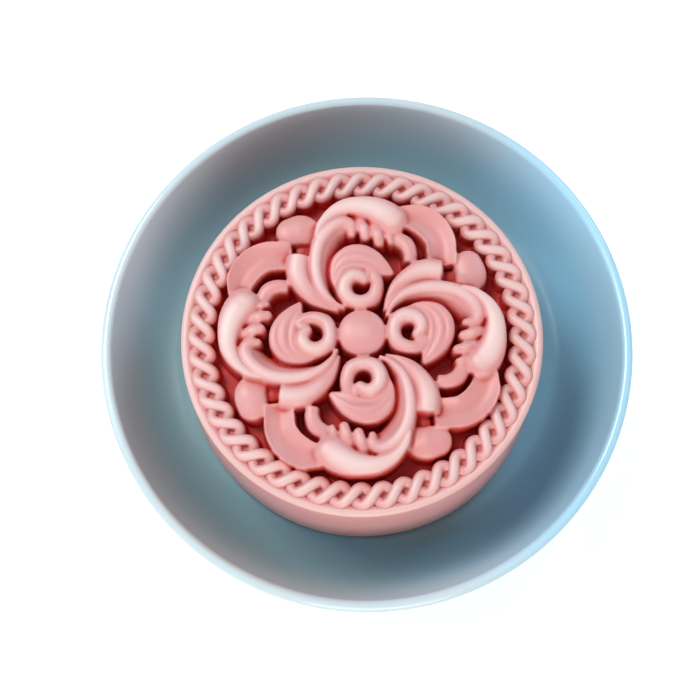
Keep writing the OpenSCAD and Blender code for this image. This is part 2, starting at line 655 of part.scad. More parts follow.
module dish() {
    steps = 14;
    lip = dish_inside(rise) + rim_round * dish_out(rise);
    lip_turn = atan2(dish_out(rise).y, dish_out(rise).x);
    under_z = dish_floor_z - dish_wall;
    outline = concat(
        [[0, dish_floor_z]],
        [for (i = [0 : steps]) dish_inside(rise * i / steps)],
        arc(lip, rim_round, lip_turn + 180 - 20, lip_turn + 20, 8),
        [for (i = [steps : -1 : 0]) dish_outside(rise * i / steps)],
        [[dish_foot_r + dish_foot_w, under_z], [dish_foot_r + dish_foot_w - 0.8, 0.4], [dish_foot_r + dish_foot_w - 1.2, 0],
         [dish_foot_r + 0.6, 0], [dish_foot_r, under_z], [0, under_z]]);
    color("lightsteelblue") translate([dish_at.x, dish_at.y, 0]) rotate_extrude($fn = 144) polygon(outline);
}

barrel();
guide_bush();
lower_spring_seat();
return_spring();
upper_spring_seat();
plunger_rod();
knob();
knob_washer();
knob_screw();
knob_cap();
piston();
piston_washer();
piston_screw();
stamp_plate();
dish();
cake_skin();
cake_filling();
cake_yolk();
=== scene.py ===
# %% [markdown]
# # A mooncake press, and a cake that it pressed
# The cake lies on a shallow glazed dish, and the press that made it stands beside the dish. This
# lesson dresses a imported CAD model: the model gives every place and size, and each cell adds one
# real piece or one real finish. We start by loading the model, and read the boxes of its parts.

# %% Load the model
import math

import bmesh
import bpy
import numpy as np
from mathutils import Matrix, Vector


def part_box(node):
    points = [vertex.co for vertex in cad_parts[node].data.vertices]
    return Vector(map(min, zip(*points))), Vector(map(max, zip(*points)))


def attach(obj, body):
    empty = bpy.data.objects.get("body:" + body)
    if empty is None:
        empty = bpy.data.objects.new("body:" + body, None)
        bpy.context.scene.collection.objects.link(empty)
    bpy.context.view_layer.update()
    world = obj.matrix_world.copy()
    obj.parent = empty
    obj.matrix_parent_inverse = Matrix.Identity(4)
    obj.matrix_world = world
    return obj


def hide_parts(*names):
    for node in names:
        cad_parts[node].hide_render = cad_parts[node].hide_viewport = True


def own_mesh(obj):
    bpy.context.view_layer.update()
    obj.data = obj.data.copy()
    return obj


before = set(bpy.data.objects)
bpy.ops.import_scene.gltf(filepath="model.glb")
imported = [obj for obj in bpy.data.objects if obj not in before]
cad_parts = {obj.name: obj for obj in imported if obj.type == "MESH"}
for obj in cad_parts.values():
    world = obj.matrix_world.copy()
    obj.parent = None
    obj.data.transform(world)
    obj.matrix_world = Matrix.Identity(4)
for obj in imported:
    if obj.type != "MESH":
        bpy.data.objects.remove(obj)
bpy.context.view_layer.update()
scene = bpy.context.scene
MM = 0.001


def box_mm(node):
    """The lowest and highest corners of a CAD node, in millimetres."""
    low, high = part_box(node)
    return np.array(low) / MM, np.array(high) / MM


def linked(name, data):
    """A new object of the scene that holds a mesh, a light or a camera."""
    thing = bpy.data.objects.new(name, data)
    scene.collection.objects.link(thing)
    return thing


RELIEF_UP = 4.7
cake_low, cake_high = box_mm("cake_skin")
cake_x, cake_y = ((cake_low + cake_high) / 2)[:2]
cake_base_z = cake_low[2]
rim_z = cake_high[2] - RELIEF_UP
cake_h = rim_z - cake_base_z
CAKE_R = 50.0
print(f"cake at {cake_x:.1f}, {cake_y:.1f}; rim at {rim_z:.1f} mm, {cake_h:.1f} mm high")

# %% [markdown]
# ## The camera
# The photograph looks down on the cake from close by: 75 degrees above the table and about a third
# of a metre away. The cake's rim lies a little up and right of the middle of the picture, so the
# lens is shifted by that many pixels instead of turning the camera, which would change the
# perspective.

# %% Camera
PHOTO_PX = 700
CAMERA_ELEVATION = math.radians(75)
CAMERA_DISTANCE = 333.0
FOCAL_PX = 1204.5
RIM_CENTRE_PX = (362.0, 334.7)
SENSOR_MM = 36.0

camera_data = bpy.data.cameras.new("camera")
camera_data.sensor_width = SENSOR_MM
camera_data.lens = FOCAL_PX / PHOTO_PX * SENSOR_MM
camera_data.shift_x = (PHOTO_PX / 2 - RIM_CENTRE_PX[0]) / PHOTO_PX
camera_data.shift_y = (RIM_CENTRE_PX[1] - PHOTO_PX / 2) / PHOTO_PX
camera_data.clip_start = 0.01
camera = linked("camera", camera_data)
back = Vector((0, -math.cos(CAMERA_ELEVATION), math.sin(CAMERA_ELEVATION)))
camera.location = (Vector((cake_x, cake_y, rim_z)) + back * CAMERA_DISTANCE) * MM
camera.rotation_euler = (math.pi / 2 - CAMERA_ELEVATION, 0, 0)
bpy.context.scene.camera = camera
print(f"lens {camera_data.lens:.1f} mm, shift {camera_data.shift_x:.3f}, {camera_data.shift_y:.3f}")

# %% [markdown]
# ## Making nodes
# Every material, the sky and each Geometry Nodes tree is a graph of nodes. Made one call at a time
# they take pages, so a helper makes a node, sets it up and fills its inputs in one line.

# %% Node helpers
def add_node(tree, kind, inputs=None, **settings):
    """A node with its settings, and its inputs linked to sockets or set to plain values."""
    node = tree.nodes.new(kind)
    for name, value in settings.items():
        setattr(node, name, value)
    for label, value in (inputs or {}).items():
        if isinstance(value, bpy.types.NodeSocket):
            tree.links.new(value, node.inputs[label])
        else:
            node.inputs[label].default_value = value
    return node


def maths(tree, operation, *values):
    """The result of a Math node on sockets or numbers. A tuple stands for a Math node of its own."""
    values = [maths(tree, *value) if isinstance(value, tuple) else value for value in values]
    return add_node(tree, "ShaderNodeMath", dict(enumerate(values)), operation=operation).outputs[0]


def mapped(tree, value, low, high, to_low=0.0, to_high=1.0, **settings):
    """The value, carried from one range to another by a Map Range node."""
    ranges = {"Value": value, "From Min": low, "From Max": high, "To Min": to_low, "To Max": to_high}
    return add_node(tree, "ShaderNodeMapRange", ranges, **settings).outputs["Result"]


# %% [markdown]
# ## Light and floor
# A large soft window stands at the upper left, a second one at the front, and a pale sky fills the
# shadows. Two small blue windows give the glaze its cool gleams. The background is white in the
# photograph. A floor that is simply lit to white would need more light than the cake can take, so
# what the camera sees of the floor is half its own light and half a plain glow: white in the open,
# and still darker under the dish.

# %% Lamps
scene.view_settings.view_transform = "Standard"


def area_light(name, offset_mm, size_mm, watts, colour):
    """A square soft light that looks at the middle of the cake's rim, at an offset from the cake."""
    data = bpy.data.lights.new(name, "AREA")
    data.size = size_mm * MM
    data.energy = watts
    data.color = colour
    light = linked(name, data)
    place_mm = Vector((cake_x + offset_mm[0], cake_y + offset_mm[1], offset_mm[2]))
    light.location = place_mm * MM
    light.rotation_euler = (Vector((cake_x, cake_y, rim_z)) - place_mm).to_track_quat("-Z", "Y").to_euler()


area_light("window", (-330, 250, 700), 280, 3.5, (1.0, 0.985, 0.96))
area_light("front_window", (40, -640, 330), 420, 3.0, (0.97, 0.985, 1.0))
area_light("blue_window", (-600, 40, 400), 240, 1.5, (0.32, 0.70, 1.0))
area_light("far_window", (420, 460, 420), 240, 1.6, (0.42, 0.74, 1.0))
print("lamps:", [light.name for light in bpy.data.lights])


# %% Sky and floor
def plain_background(tree, otherwise, strength):
    """One strength for rays from the camera, a mirror or glass, and another for all other light."""
    path = add_node(tree, "ShaderNodeLightPath").outputs
    direct = maths(tree, "MAXIMUM", path["Is Camera Ray"],
                   ("MAXIMUM", path["Is Glossy Ray"], path["Is Transmission Ray"]))
    return mapped(tree, direct, 0.0, 1.0, otherwise, strength)


SKY_FILL = 0.23
FLOOR_GLOW = 0.55
FLOOR_HALF = 4.0
FLOOR_Z = -0.0002
world = bpy.data.worlds.new("sky")
world.use_nodes = True
scene.world = world
world.node_tree.nodes.clear()
sky = add_node(world.node_tree, "ShaderNodeBackground",
               {"Strength": plain_background(world.node_tree, SKY_FILL, 1.0)})
add_node(world.node_tree, "ShaderNodeOutputWorld", {"Surface": sky.outputs[0]})

floor_material = bpy.data.materials.new("floor")
floor_material.use_nodes = True
floor_tree = floor_material.node_tree
floor_tree.nodes.clear()
lit = add_node(floor_tree, "ShaderNodeBsdfDiffuse", {"Color": (0.8, 0.8, 0.8, 1)})
glow = add_node(floor_tree, "ShaderNodeEmission", {"Strength": plain_background(floor_tree, 0.0, FLOOR_GLOW)})
both = add_node(floor_tree, "ShaderNodeAddShader", {0: lit.outputs[0], 1: glow.outputs[0]})
add_node(floor_tree, "ShaderNodeOutputMaterial", {"Surface": both.outputs[0]})
floor_mesh = bpy.data.meshes.new("floor")
corners = [(x * FLOOR_HALF, y * FLOOR_HALF, FLOOR_Z) for x, y in ((-1, -1), (1, -1), (1, 1), (-1, 1))]
floor_mesh.from_pydata(corners, [], [(0, 1, 2, 3)])
floor_mesh.materials.append(floor_material)
floor = linked("floor", floor_mesh)
print(f"floor {2 * FLOOR_HALF:.0f} m square")

# %% [markdown]
# ## Shared finishes
# Real moulded plastic, glaze and dough are never one flat colour. Two small effects are used again
# and again, so each is a shader node group: a fine grain that both roughens and bumps a surface,
# and a slow mottling that moves a colour a little lighter or darker.

# %% Shader groups
FLOAT, WHOLE = "NodeSocketFloat", "NodeSocketInt"
COLOUR, VECTOR = "NodeSocketColor", "NodeSocketVector"


def shader_group(name, inputs, outputs):
    """An empty shader node group with named sockets, and the sockets of its two ends."""
    group = bpy.data.node_groups.new(name, "ShaderNodeTree")
    for label, kind, value in inputs:
        group.interface.new_socket(label, in_out="INPUT", socket_type=kind).default_value = value
    for label, kind in outputs:
        group.interface.new_socket(label, in_out="OUTPUT", socket_type=kind)
    return group, group.nodes.new("NodeGroupInput").outputs, group.nodes.new("NodeGroupOutput").inputs


def colour_mix(tree, factor, first, second):
    """Mixes two colours. Each is a socket, or a plain colour; the node's hidden sockets share names."""
    mix = add_node(tree, "ShaderNodeMix", data_type="RGBA")

    def named(sockets, name, kind):
        return next(s for s in sockets if s.name == name and s.type == kind and s.enabled)

    tree.links.new(factor, named(mix.inputs, "Factor", "VALUE"))
    for label, value in (("A", first), ("B", second)):
        if isinstance(value, bpy.types.NodeSocket):
            tree.links.new(value, named(mix.inputs, label, "RGBA"))
        else:
            named(mix.inputs, label, "RGBA").default_value = (*value, 1)
    return named(mix.outputs, "Result", "RGBA")


def noise_in_place(tree, per_metre, detail):
    """Noise that is fixed to the object's own coordinates."""
    place = add_node(tree, "ShaderNodeTexCoord").outputs["Object"]
    return add_node(tree, "ShaderNodeTexNoise",
                    {"Vector": place, "Scale": per_metre, "Detail": detail}).outputs[0]


def make_grain_group():
    """Fine grain: a height for a bump, and a roughness that varies round a middle value."""
    group, given, result = shader_group(
        "fine grain",
        [("Per metre", FLOAT, 900.0), ("Roughness", FLOAT, 0.4), ("Variation", FLOAT, 0.1)],
        [("Height", FLOAT), ("Roughness", FLOAT)])
    noise = noise_in_place(group, given["Per metre"], 3)
    centred = maths(group, "SUBTRACT", noise, 0.5)
    group.links.new(noise, result["Height"])
    group.links.new(maths(group, "MULTIPLY_ADD", centred, given["Variation"], given["Roughness"]),
                    result["Roughness"])
    return group


def make_mottle_group():
    """Slow mottling: mixes a colour towards a second one in soft patches."""
    group, given, result = shader_group(
        "soft mottling",
        [("Colour", COLOUR, (0.8, 0.8, 0.8, 1)), ("Patches", COLOUR, (0.7, 0.7, 0.7, 1)),
         ("Per metre", FLOAT, 40.0), ("Amount", FLOAT, 0.4)],
        [("Colour", COLOUR)])
    amount = maths(group, "MULTIPLY", noise_in_place(group, given["Per metre"], 2), given["Amount"])
    group.links.new(colour_mix(group, amount, given["Colour"], given["Patches"]), result["Colour"])
    return group


grain_group = make_grain_group()
mottle_group = make_mottle_group()
GRAIN_DEPTH = 0.0002


def finish_material(name, colour, patches, roughness, grain=900.0, bump=0.1, patch_scale=40.0, amount=0.5,
                    colour_from=None, **plain):
    """A material of mottled colour and fine grain.

    colour_from may build on the mottled colour; plain sets the shader's own sockets.
    """
    material = bpy.data.materials.new(name)
    material.use_nodes = True
    tree = material.node_tree
    base = add_node(tree, "ShaderNodeGroup", {
        "Colour": (*colour, 1), "Patches": (*patches, 1), "Per metre": patch_scale, "Amount": amount},
        node_tree=mottle_group).outputs["Colour"]
    fine = add_node(tree, "ShaderNodeGroup", {"Per metre": grain, "Roughness": roughness},
                    node_tree=grain_group).outputs
    relief = add_node(tree, "ShaderNodeBump",
                      {"Strength": bump, "Distance": GRAIN_DEPTH, "Height": fine["Height"]})
    shader = tree.nodes["Principled BSDF"].inputs
    tree.links.new(colour_from(tree, base) if colour_from else base, shader["Base Color"])
    tree.links.new(fine["Roughness"], shader["Roughness"])
    tree.links.new(relief.outputs["Normal"], shader["Normal"])
    for label, value in plain.items():
        shader[label.replace("_", " ")].default_value = value
    return material


print("shader groups:", [g.name for g in (grain_group, mottle_group)])

# %% [markdown]
# ## Mesh helpers
# Most pieces here are turned shapes: a dish, a barrel, a knob, a rod. A lathe function sweeps one
# outline round the Z axis, and a corner of the outline is rounded first, as a mould rounds it.

# %% Mesh helpers
def smoothed(mesh, sharp):
    """Makes a mesh smooth but for its edges that are sharper than an angle in degrees."""
    mesh.polygons.foreach_set("use_smooth", [True] * len(mesh.polygons))
    mesh.set_sharp_from_angle(angle=math.radians(sharp))


def piece_from(name, points_mm, faces, material, sharp=35.0):
    """A mesh object from points in millimetres, its faces turned outwards."""
    mesh = bpy.data.meshes.new(name)
    mesh.from_pydata((np.asarray(points_mm, float) * MM).tolist(), [], faces)
    outward = bmesh.new()
    outward.from_mesh(mesh)
    bmesh.ops.recalc_face_normals(outward, faces=outward.faces)
    outward.to_mesh(mesh)
    outward.free()
    smoothed(mesh, sharp)
    mesh.materials.append(material)
    return linked(name, mesh)


BARELY_TURNS = math.cos(math.radians(24))
ON_AXIS = 1e-6
MOST_OF_SIDE = 0.45


def rounded(outline, radius, steps=3, closed=True):
    """The outline with each corner off the axis replaced by a short curve."""
    points = [np.array(p, float) for p in outline]
    result = []
    for i, here in enumerate(points):
        before, after = points[i - 1], points[(i + 1) % len(points)]
        side_in, side_out = np.linalg.norm(here - before), np.linalg.norm(after - here)
        into, away = (here - before) / side_in, (after - here) / side_out
        at_end = not closed and i in (0, len(points) - 1)
        if at_end or here[0] < ON_AXIS or into @ away > BARELY_TURNS:
            result.append(here)
            continue
        start = here - into * min(radius, side_in * MOST_OF_SIDE)
        end = here + away * min(radius, side_out * MOST_OF_SIDE)
        for t in np.linspace(0, 1, steps + 1):
            result.append((1 - t) ** 2 * start + 2 * t * (1 - t) * here + t ** 2 * end)
    return result


def lathe(name, outline, material, centre=(0, 0), steps=160, swell=None, sharp=35.0):
    """Turns a closed outline of (radius, height) points round Z.

    swell(angle, radius, height) may move a radius.
    """
    points, rings = [], []
    for r, z in outline:
        if r < ON_AXIS:
            rings.append([len(points)] * steps)
            points.append((centre[0], centre[1], z))
            continue
        rings.append(list(range(len(points), len(points) + steps)))
        for k in range(steps):
            a = 2 * math.pi * k / steps
            radius = swell(a, r, z) if swell else r
            points.append((centre[0] + radius * math.cos(a), centre[1] + radius * math.sin(a), z))
    faces = []
    for ring, other in zip(rings, rings[1:] + rings[:1]):
        if ring[0] == ring[1] and other[0] == other[1]:
            continue
        for k in range(steps):
            m = (k + 1) % steps
            faces.append(list(dict.fromkeys((ring[k], ring[m], other[m], other[k]))))
    return piece_from(name, points, faces, material, sharp)


def arc(cx, cz, r, start, end, steps=8):
    """Points of an arc of an outline, angles in degrees from +radius towards +Z."""
    angles = np.radians(np.linspace(start, end, steps + 1))
    return [(cx + r * math.cos(a), cz + r * math.sin(a)) for a in angles]


# %% [markdown]
# ## The ornament
# The stamp presses a rosette of scrolled leaves into the dough. One motif is drawn with its eye on
# the X axis as a list of strokes, each a row of points with a half-width and a height, and turned
# four times. We could sweep each stroke as a tube, but dough has no undercuts: it is one skin pushed
# up into a mould. So the strokes become a height field, softened a little as dough is, and the
# skin is a disc of points lifted to it.

# %% Strokes of one motif
# Each is (crown, squareness of its end, [(x, y, half-width, height over the rim), ...]), in millimetres.
BOSS = (0.32, 0, [(0, 0, 6.9, 3.9), (0.1, 0, 6.9, 3.9)])
MOTIF = [
    # the eye, a volute round a deep hole
    (1.0, 0, [(17.8, -2.6, 1.3, 3.3), (15.3, -4.0, 2.0, 3.7), (12.4, -4.0, 2.2, 4.0), (9.8, -2.7, 2.4, 4.1),
              (8.8, 0.2, 2.2, 4.2), (9.4, 3.2, 2.5, 4.3), (11.9, 4.9, 2.6, 4.4), (14.6, 4.5, 2.5, 4.4),
              (16.2, 2.7, 2.3, 4.4), (16.2, 0.9, 2.2, 4.2), (15.2, -0.5, 1.8, 4.0)]),
    (1.0, 0, [(15.6, -1.3, 1.3, 3.7), (17.2, -1.9, 1.4, 3.4)]),
    # the fluted leaf behind the eye
    (0.9, 0, [(13.5, 7.2, 0.9, 2.8), (17.2, 6.1, 1.1, 3.2), (19.0, 3.4, 1.1, 3.4), (19.2, 0.0, 1.2, 3.4),
              (18.4, -3.2, 1.3, 3.2), (17.3, -6.0, 1.1, 2.7), (16.8, -8.2, 0.7, 2.2)]),
    (0.9, 0, [(13.0, 7.3, 0.8, 2.7), (17.6, 7.2, 1.2, 3.2), (20.7, 4.8, 1.5, 3.6), (21.7, 1.4, 1.6, 3.8),
              (21.2, -2.2, 1.6, 3.6), (19.4, -5.4, 1.3, 3.1), (17.3, -8.0, 0.7, 2.4)]),
    (0.9, 0, [(11.4, 6.8, 0.7, 2.5), (16.2, 8.0, 1.1, 3.0), (20.8, 7.1, 1.5, 3.4), (23.5, 4.0, 1.8, 3.6),
              (24.0, 0.2, 1.8, 3.6), (22.6, -3.3, 1.7, 3.3), (20.1, -6.2, 1.3, 2.9), (17.2, -8.8, 0.6, 2.2)]),
    # the scroll: two slopes inside it, its inner roll, then its outer band
    (1.5, 0, [(8.2, 7.4, 1.0, 1.0), (12.5, 10.9, 2.5, 1.8), (18.0, 12.2, 4.1, 2.3), (23.5, 11.6, 4.7, 2.3),
              (28.2, 9.4, 4.7, 2.2), (31.0, 5.8, 3.8, 2.0)]),
    (1.7, 0, [(12.4, 10.9, 2.0, 2.8), (17.2, 12.1, 3.0, 3.2), (21.9, 12.1, 3.4, 3.3), (26.5, 10.8, 3.6, 3.3),
              (29.6, 8.5, 3.6, 3.2), (31.0, 5.8, 3.2, 3.0)]),
    (1.0, 0, [(6.8, 5.0, 0.7, 3.3), (8.9, 8.5, 1.2, 3.9), (12.2, 11.2, 1.6, 4.2), (16.8, 12.7, 1.9, 4.4),
              (21.6, 12.9, 2.1, 4.4), (26.3, 11.8, 2.3, 4.4), (30.1, 9.1, 2.5, 4.3), (31.9, 6.1, 2.4, 4.1),
              (31.7, 3.9, 2.0, 3.9), (30.2, 2.9, 1.6, 3.8), (28.5, 2.8, 1.3, 3.5)]),
    (0.6, 0, [(28.0, 12.9, 0.7, 4.2), (31.6, 11.4, 1.3, 4.4), (34.9, 8.3, 1.9, 4.5), (36.6, 4.4, 2.6, 4.6),
              (36.8, 0.4, 3.1, 4.7), (35.9, -3.6, 3.9, 4.7), (34.3, -6.6, 4.5, 4.6), (32.9, -8.2, 4.7, 4.4)]),
    # three fingers inside the scroll, side by side, and the bank that they rise from
    (1.0, 0, [(27.9, -0.9, 1.7, 3.9), (30.2, -0.3, 1.8, 4.1), (32.4, 0.5, 1.5, 3.3), (33.8, 1.1, 1.0, 2.4)]),
    (1.0, 0, [(26.2, -4.8, 1.7, 3.7), (28.6, -4.2, 1.8, 4.0), (30.9, -3.4, 1.5, 3.2),
              (32.4, -2.8, 1.0, 2.3)]),
    (1.0, 0, [(26.3, -8.0, 1.1, 3.0), (28.0, -7.5, 1.3, 3.2), (29.7, -6.8, 0.9, 2.4)]),
    (0.4, 0, [(33.0, 2.8, 1.2, 1.6), (31.6, -0.6, 1.6, 1.6), (30.2, -4.2, 1.6, 1.4), (29.3, -6.8, 1.2, 1.2)]),
    # the arm beside the scroll
    (0.75, 1, [(6.1, 6.6, 0.5, 2.6), (7.4, 10.1, 1.2, 3.2), (9.9, 13.6, 2.2, 3.8), (13.7, 16.6, 2.9, 4.2),
               (17.6, 18.0, 3.5, 4.4), (21.8, 17.8, 3.3, 4.4)]),
    # the small petal under the scroll
    (0.8, 1, [(27.6, -10.0, 2.4, 2.4), (26.0, -12.4, 2.5, 2.7), (23.4, -13.5, 2.3, 2.7),
              (20.7, -13.5, 2.1, 2.4)]),
    # the hollow leaf outside it
    (-0.5, 1, [(34.1, -12.0, 3.4, 3.1), (33.3, -16.0, 4.4, 3.4), (30.7, -19.7, 4.7, 3.5),
               (27.3, -21.8, 4.6, 3.5), (23.8, -22.3, 4.5, 3.3), (20.6, -22.3, 4.3, 3.0)]),
    # the round petal and the bead between two motifs
    (0.45, 0, [(29.4, 14.2, 3.7, 1.8), (30.5, 17.0, 4.6, 2.4), (29.7, 20.2, 4.4, 2.3)]),
    (0.5, 0, [(24.5, 16.9, 2.3, -0.4), (24.7, 16.9, 2.3, -0.4)]),
]
print(len(MOTIF), "strokes in the motif")

# %% The field of heights
GROUND = -5.2
ROPE_BED = -1.5
OUTER_BED = -0.4
ROPE_INNER_R = 42.2
ROPE_OUTER_R = 47.2
RIM_INNER_R = 48.4
ROPE_R = 44.6
ROPE_TWISTS = 24
ROPE_SWING = 2.5
ROPE_TOP = 0.5
STRAND_R = 1.5
STRAND_LIFT = 0.6
FIELD_STEP = 0.1
FIELD_HALF = 51.2
field_line = np.arange(-FIELD_HALF, FIELD_HALF + FIELD_STEP / 2, FIELD_STEP)
field_x, field_y = np.meshgrid(field_line, field_line)
print(f"{len(field_line)} by {len(field_line)} heights, {FIELD_STEP} mm apart")


# %% From strokes to heights
def smooth_path(points, per_span=6):
    """A Catmull-Rom curve through the points, so that a stroke bends evenly."""
    p = np.array(points, float)
    p = np.vstack([2 * p[0] - p[1], p, 2 * p[-1] - p[-2]])
    spans = []
    for i in range(1, len(p) - 2):
        t = np.linspace(0, 1, per_span, endpoint=False)[:, None]
        a, b, c, d = p[i - 1:i + 3]
        spans.append(0.5 * (2 * b + (c - a) * t + (2 * a - 5 * b + 4 * c - d) * t ** 2
                            + (3 * b - a - 3 * c + d) * t ** 3))
    return np.vstack(spans + [p[-2:-1]])


SQUARE_END = 0.3
LIP_FROM = 0.8
LIP_WIDTH = 0.2
LIP_DROP = 0.2
FAR_OFF = 9.0


def lay_stroke(field, crown, square, points):
    """Raises the field to one stroke: a crowned roll, or a trough with a rounded lip.

    A stroke's ends are round. Where square is 1, its last end is nearly square.
    """
    path = smooth_path(points)
    width = path[:, 2].max()
    low, high = path[:, :2].min(0) - width, path[:, :2].max(0) + width
    cols, rows = (slice(*np.searchsorted(field_line, ends)) for ends in zip(low, high))
    x, y = field_x[rows, cols], field_y[rows, cols]
    q, top, half = np.full(x.shape, FAR_OFF), np.zeros(x.shape), np.ones(x.shape)
    for a, b in zip(path[:-1], path[1:]):
        along = b[:2] - a[:2]
        length = np.hypot(*along)
        run = ((x - a[0]) * along[0] + (y - a[1]) * along[1]) / length ** 2
        across = ((y - a[1]) * along[0] - (x - a[0]) * along[1]) / length
        t = np.clip(run, 0, 1)
        over = np.abs(run - t) * length
        w = a[2] + (b[2] - a[2]) * t
        here = np.hypot(over, across) / w
        nearer = here < q
        q = np.where(nearer, here, q)
        top = np.where(nearer, a[3] + (b[3] - a[3]) * t, top)
        half = np.where(nearer, w, half)
    if square:
        beyond = (run - 1) * length
        q = np.where(beyond > 0, np.maximum(q, np.hypot(beyond / SQUARE_END, across) / path[-1, 2]), q)
    inside = q < 1
    q = np.minimum(q, 1)
    if crown > 0:
        z = top - crown * half * (1 - np.sqrt(1 - q * q))
    else:
        lip = np.clip((q - LIP_FROM) / LIP_WIDTH, 0, 1)
        z = top + crown * half * (1 - q * q) - LIP_DROP * half * (1 - np.sqrt(1 - lip * lip))
    field[rows, cols] = np.maximum(field[rows, cols], np.where(inside, z, GROUND))


def blurred(field, sigma_mm):
    """Gaussian blur, done on the field's frequencies."""
    fy = np.fft.fftfreq(field.shape[0], FIELD_STEP)[:, None]
    fx = np.fft.rfftfreq(field.shape[1], FIELD_STEP)[None, :]
    keep = np.exp(-2 * (math.pi * sigma_mm) ** 2 * (fx ** 2 + fy ** 2))
    return np.fft.irfft2(np.fft.rfft2(field) * keep, s=field.shape)


one_motif = np.full(field_x.shape, GROUND)
for stroke in MOTIF:
    lay_stroke(one_motif, *stroke)
rosette = np.maximum.reduce([np.rot90(one_motif, k) for k in range(4)])
lay_stroke(rosette, *BOSS)
print(f"rosette up to {rosette.max():.1f} mm over the rim")

# %% Relief and painted shade
DOUGH_SOFTNESS = 0.2
STAMP_SOFTNESS = 0.12
STRAND_SHARE = 0.97
field_r = np.hypot(field_x, field_y)
field_turn = np.arctan2(field_y, field_x)
rim_fall = -0.35 * np.clip(field_r - RIM_INNER_R - 0.6, 0, 1.2)
beds = np.select([field_r < ROPE_INNER_R, field_r < ROPE_OUTER_R, field_r < RIM_INNER_R],
                 [rosette, ROPE_BED, OUTER_BED], rim_fall)


def strand_heights(side, pad):
    """One strand of the rope as heights. A pad is level with the strand's middle, and lies under it."""
    phase = ROPE_TWISTS * field_turn
    slope = ROPE_SWING * ROPE_TWISTS * np.sin(phase) / ROPE_R
    q = np.abs(field_r - ROPE_R - side * ROPE_SWING * np.cos(phase)) / np.sqrt(1 + slope ** 2) / STRAND_R
    top = ROPE_TOP + STRAND_LIFT * side * np.sin(phase)
    drop = STRAND_R if pad else STRAND_R * (1 - np.sqrt(1 - np.minimum(q, 1) ** 2))
    return np.where(q < STRAND_SHARE, top - drop, GROUND)


def whole_relief(pads, softness):
    """The rosette, the beds round it, and the rope as pads or as strands, all softened."""
    return blurred(np.maximum.reduce([beds, strand_heights(1, pads), strand_heights(-1, pads)]), softness)


relief = whole_relief(True, DOUGH_SOFTNESS)
stamp_relief = whole_relief(False, STAMP_SOFTNESS)

# Painted shade for the dough's colour: a place gets a higher value, and is painted darker, the further it
# lies below its surroundings, below the rim or low in the relief, or close beside a roll, where shade falls.
surroundings, close_by = blurred(relief, 2.0), blurred(relief, 0.7)
painted_light = (np.clip((surroundings - relief) / 2.6, 0, 1) * 0.6 + np.clip(relief / GROUND, 0, 1) * 0.75
           + np.clip((3.6 - relief) / 3.6, 0, 1) * 0.16 + np.clip(close_by - relief - 0.06, 0, 1) * 0.8)
painted_light = np.where(field_r > RIM_INNER_R - 0.6, 0, np.clip(blurred(painted_light, 0.25), 0, 1))
# The rope's channel is shallow, so the painted shade in its folds is weaker.
painted_light *= np.where((field_r > ROPE_INNER_R + 0.6) & (field_r < ROPE_OUTER_R), 0.6, 1)
# The highest places and the rim get a value below 0, which paints them paler: a painted highlight.
painted_light -= np.where(field_r > RIM_INNER_R - 0.2, 0.14, 0.25 * np.clip(relief - 3.7, 0, 1))
print(f"relief from {relief.min():.1f} to {relief.max():.1f} mm")


def sample(field, x, y):
    """The field's value between its points."""
    u, v = (np.clip((line + FIELD_HALF) / FIELD_STEP, 0, len(field_line) - 1.001) for line in (x, y))
    i, j = u.astype(int), v.astype(int)
    s, t = u - i, v - j
    return ((1 - t) * ((1 - s) * field[j, i] + s * field[j, i + 1])
            + t * ((1 - s) * field[j + 1, i] + s * field[j + 1, i + 1]))


# %% [markdown]
# ## The skin of the cake
# A disc of rings with 6, 12, 18 ... points keeps every triangle about the same size, so the scrolls
# are as crisp at the rim as in the middle. Under the rim the side goes down in a slight bulge and
# spreads at the foot, where the soft cake sags on the dish. Its colour has painted light in it: a
# place is painted dark red the deeper it lies in a narrow fold, as painted shade standing for light
# that has passed through pink dough, painted paler on the highest crests and the rim, and painted
# darker down the side towards the foot.

# %% Cake material
DOUGH = (0.74, 0.285, 0.26)
DOUGH_PALE = (0.85, 0.43, 0.40)
# The next three colours are painted light: a painted highlight for crests and the rim, and painted shade for
# folds and the deepest places.
DOUGH_PAINTED_HIGHLIGHT = (0.92, 0.64, 0.58)
DOUGH_PAINTED_FOLD_SHADE = (0.62, 0.10, 0.08)
DOUGH_PAINTED_DEEP_SHADE = (0.52, 0.030, 0.026)


def dough_with_painted_light(tree, base):
    """Paints shade and highlight into the dough's colour from a value stored on the mesh: dark red in folds
    and hollows, paler on crests and the rim.
    """
    depth = add_node(tree, "ShaderNodeAttribute", attribute_name="painted_light").outputs["Fac"]
    # painted highlight: crests and the rim are mixed towards a paler colour
    with_painted_highlight = colour_mix(tree, mapped(tree, depth, 0.0, -0.25), base, DOUGH_PAINTED_HIGHLIGHT)
    # painted shade: folds are mixed towards red
    with_painted_fold_shade = colour_mix(tree, mapped(tree, depth, 0.06, 0.55), with_painted_highlight, DOUGH_PAINTED_FOLD_SHADE)
    # painted shade: the deepest places go dark red
    return colour_mix(tree, mapped(tree, depth, 0.5, 1.0), with_painted_fold_shade, DOUGH_PAINTED_DEEP_SHADE)


dough = finish_material(
    "cake_skin", DOUGH, DOUGH_PALE, 0.42, grain=2600, bump=0.12, patch_scale=55, amount=0.7,
    colour_from=dough_with_painted_light, Subsurface_Weight=0.22, Subsurface_Radius=(1.0, 0.35, 0.25),
    Subsurface_Scale=0.003, Specular_IOR_Level=0.28, Coat_Roughness=0.34)


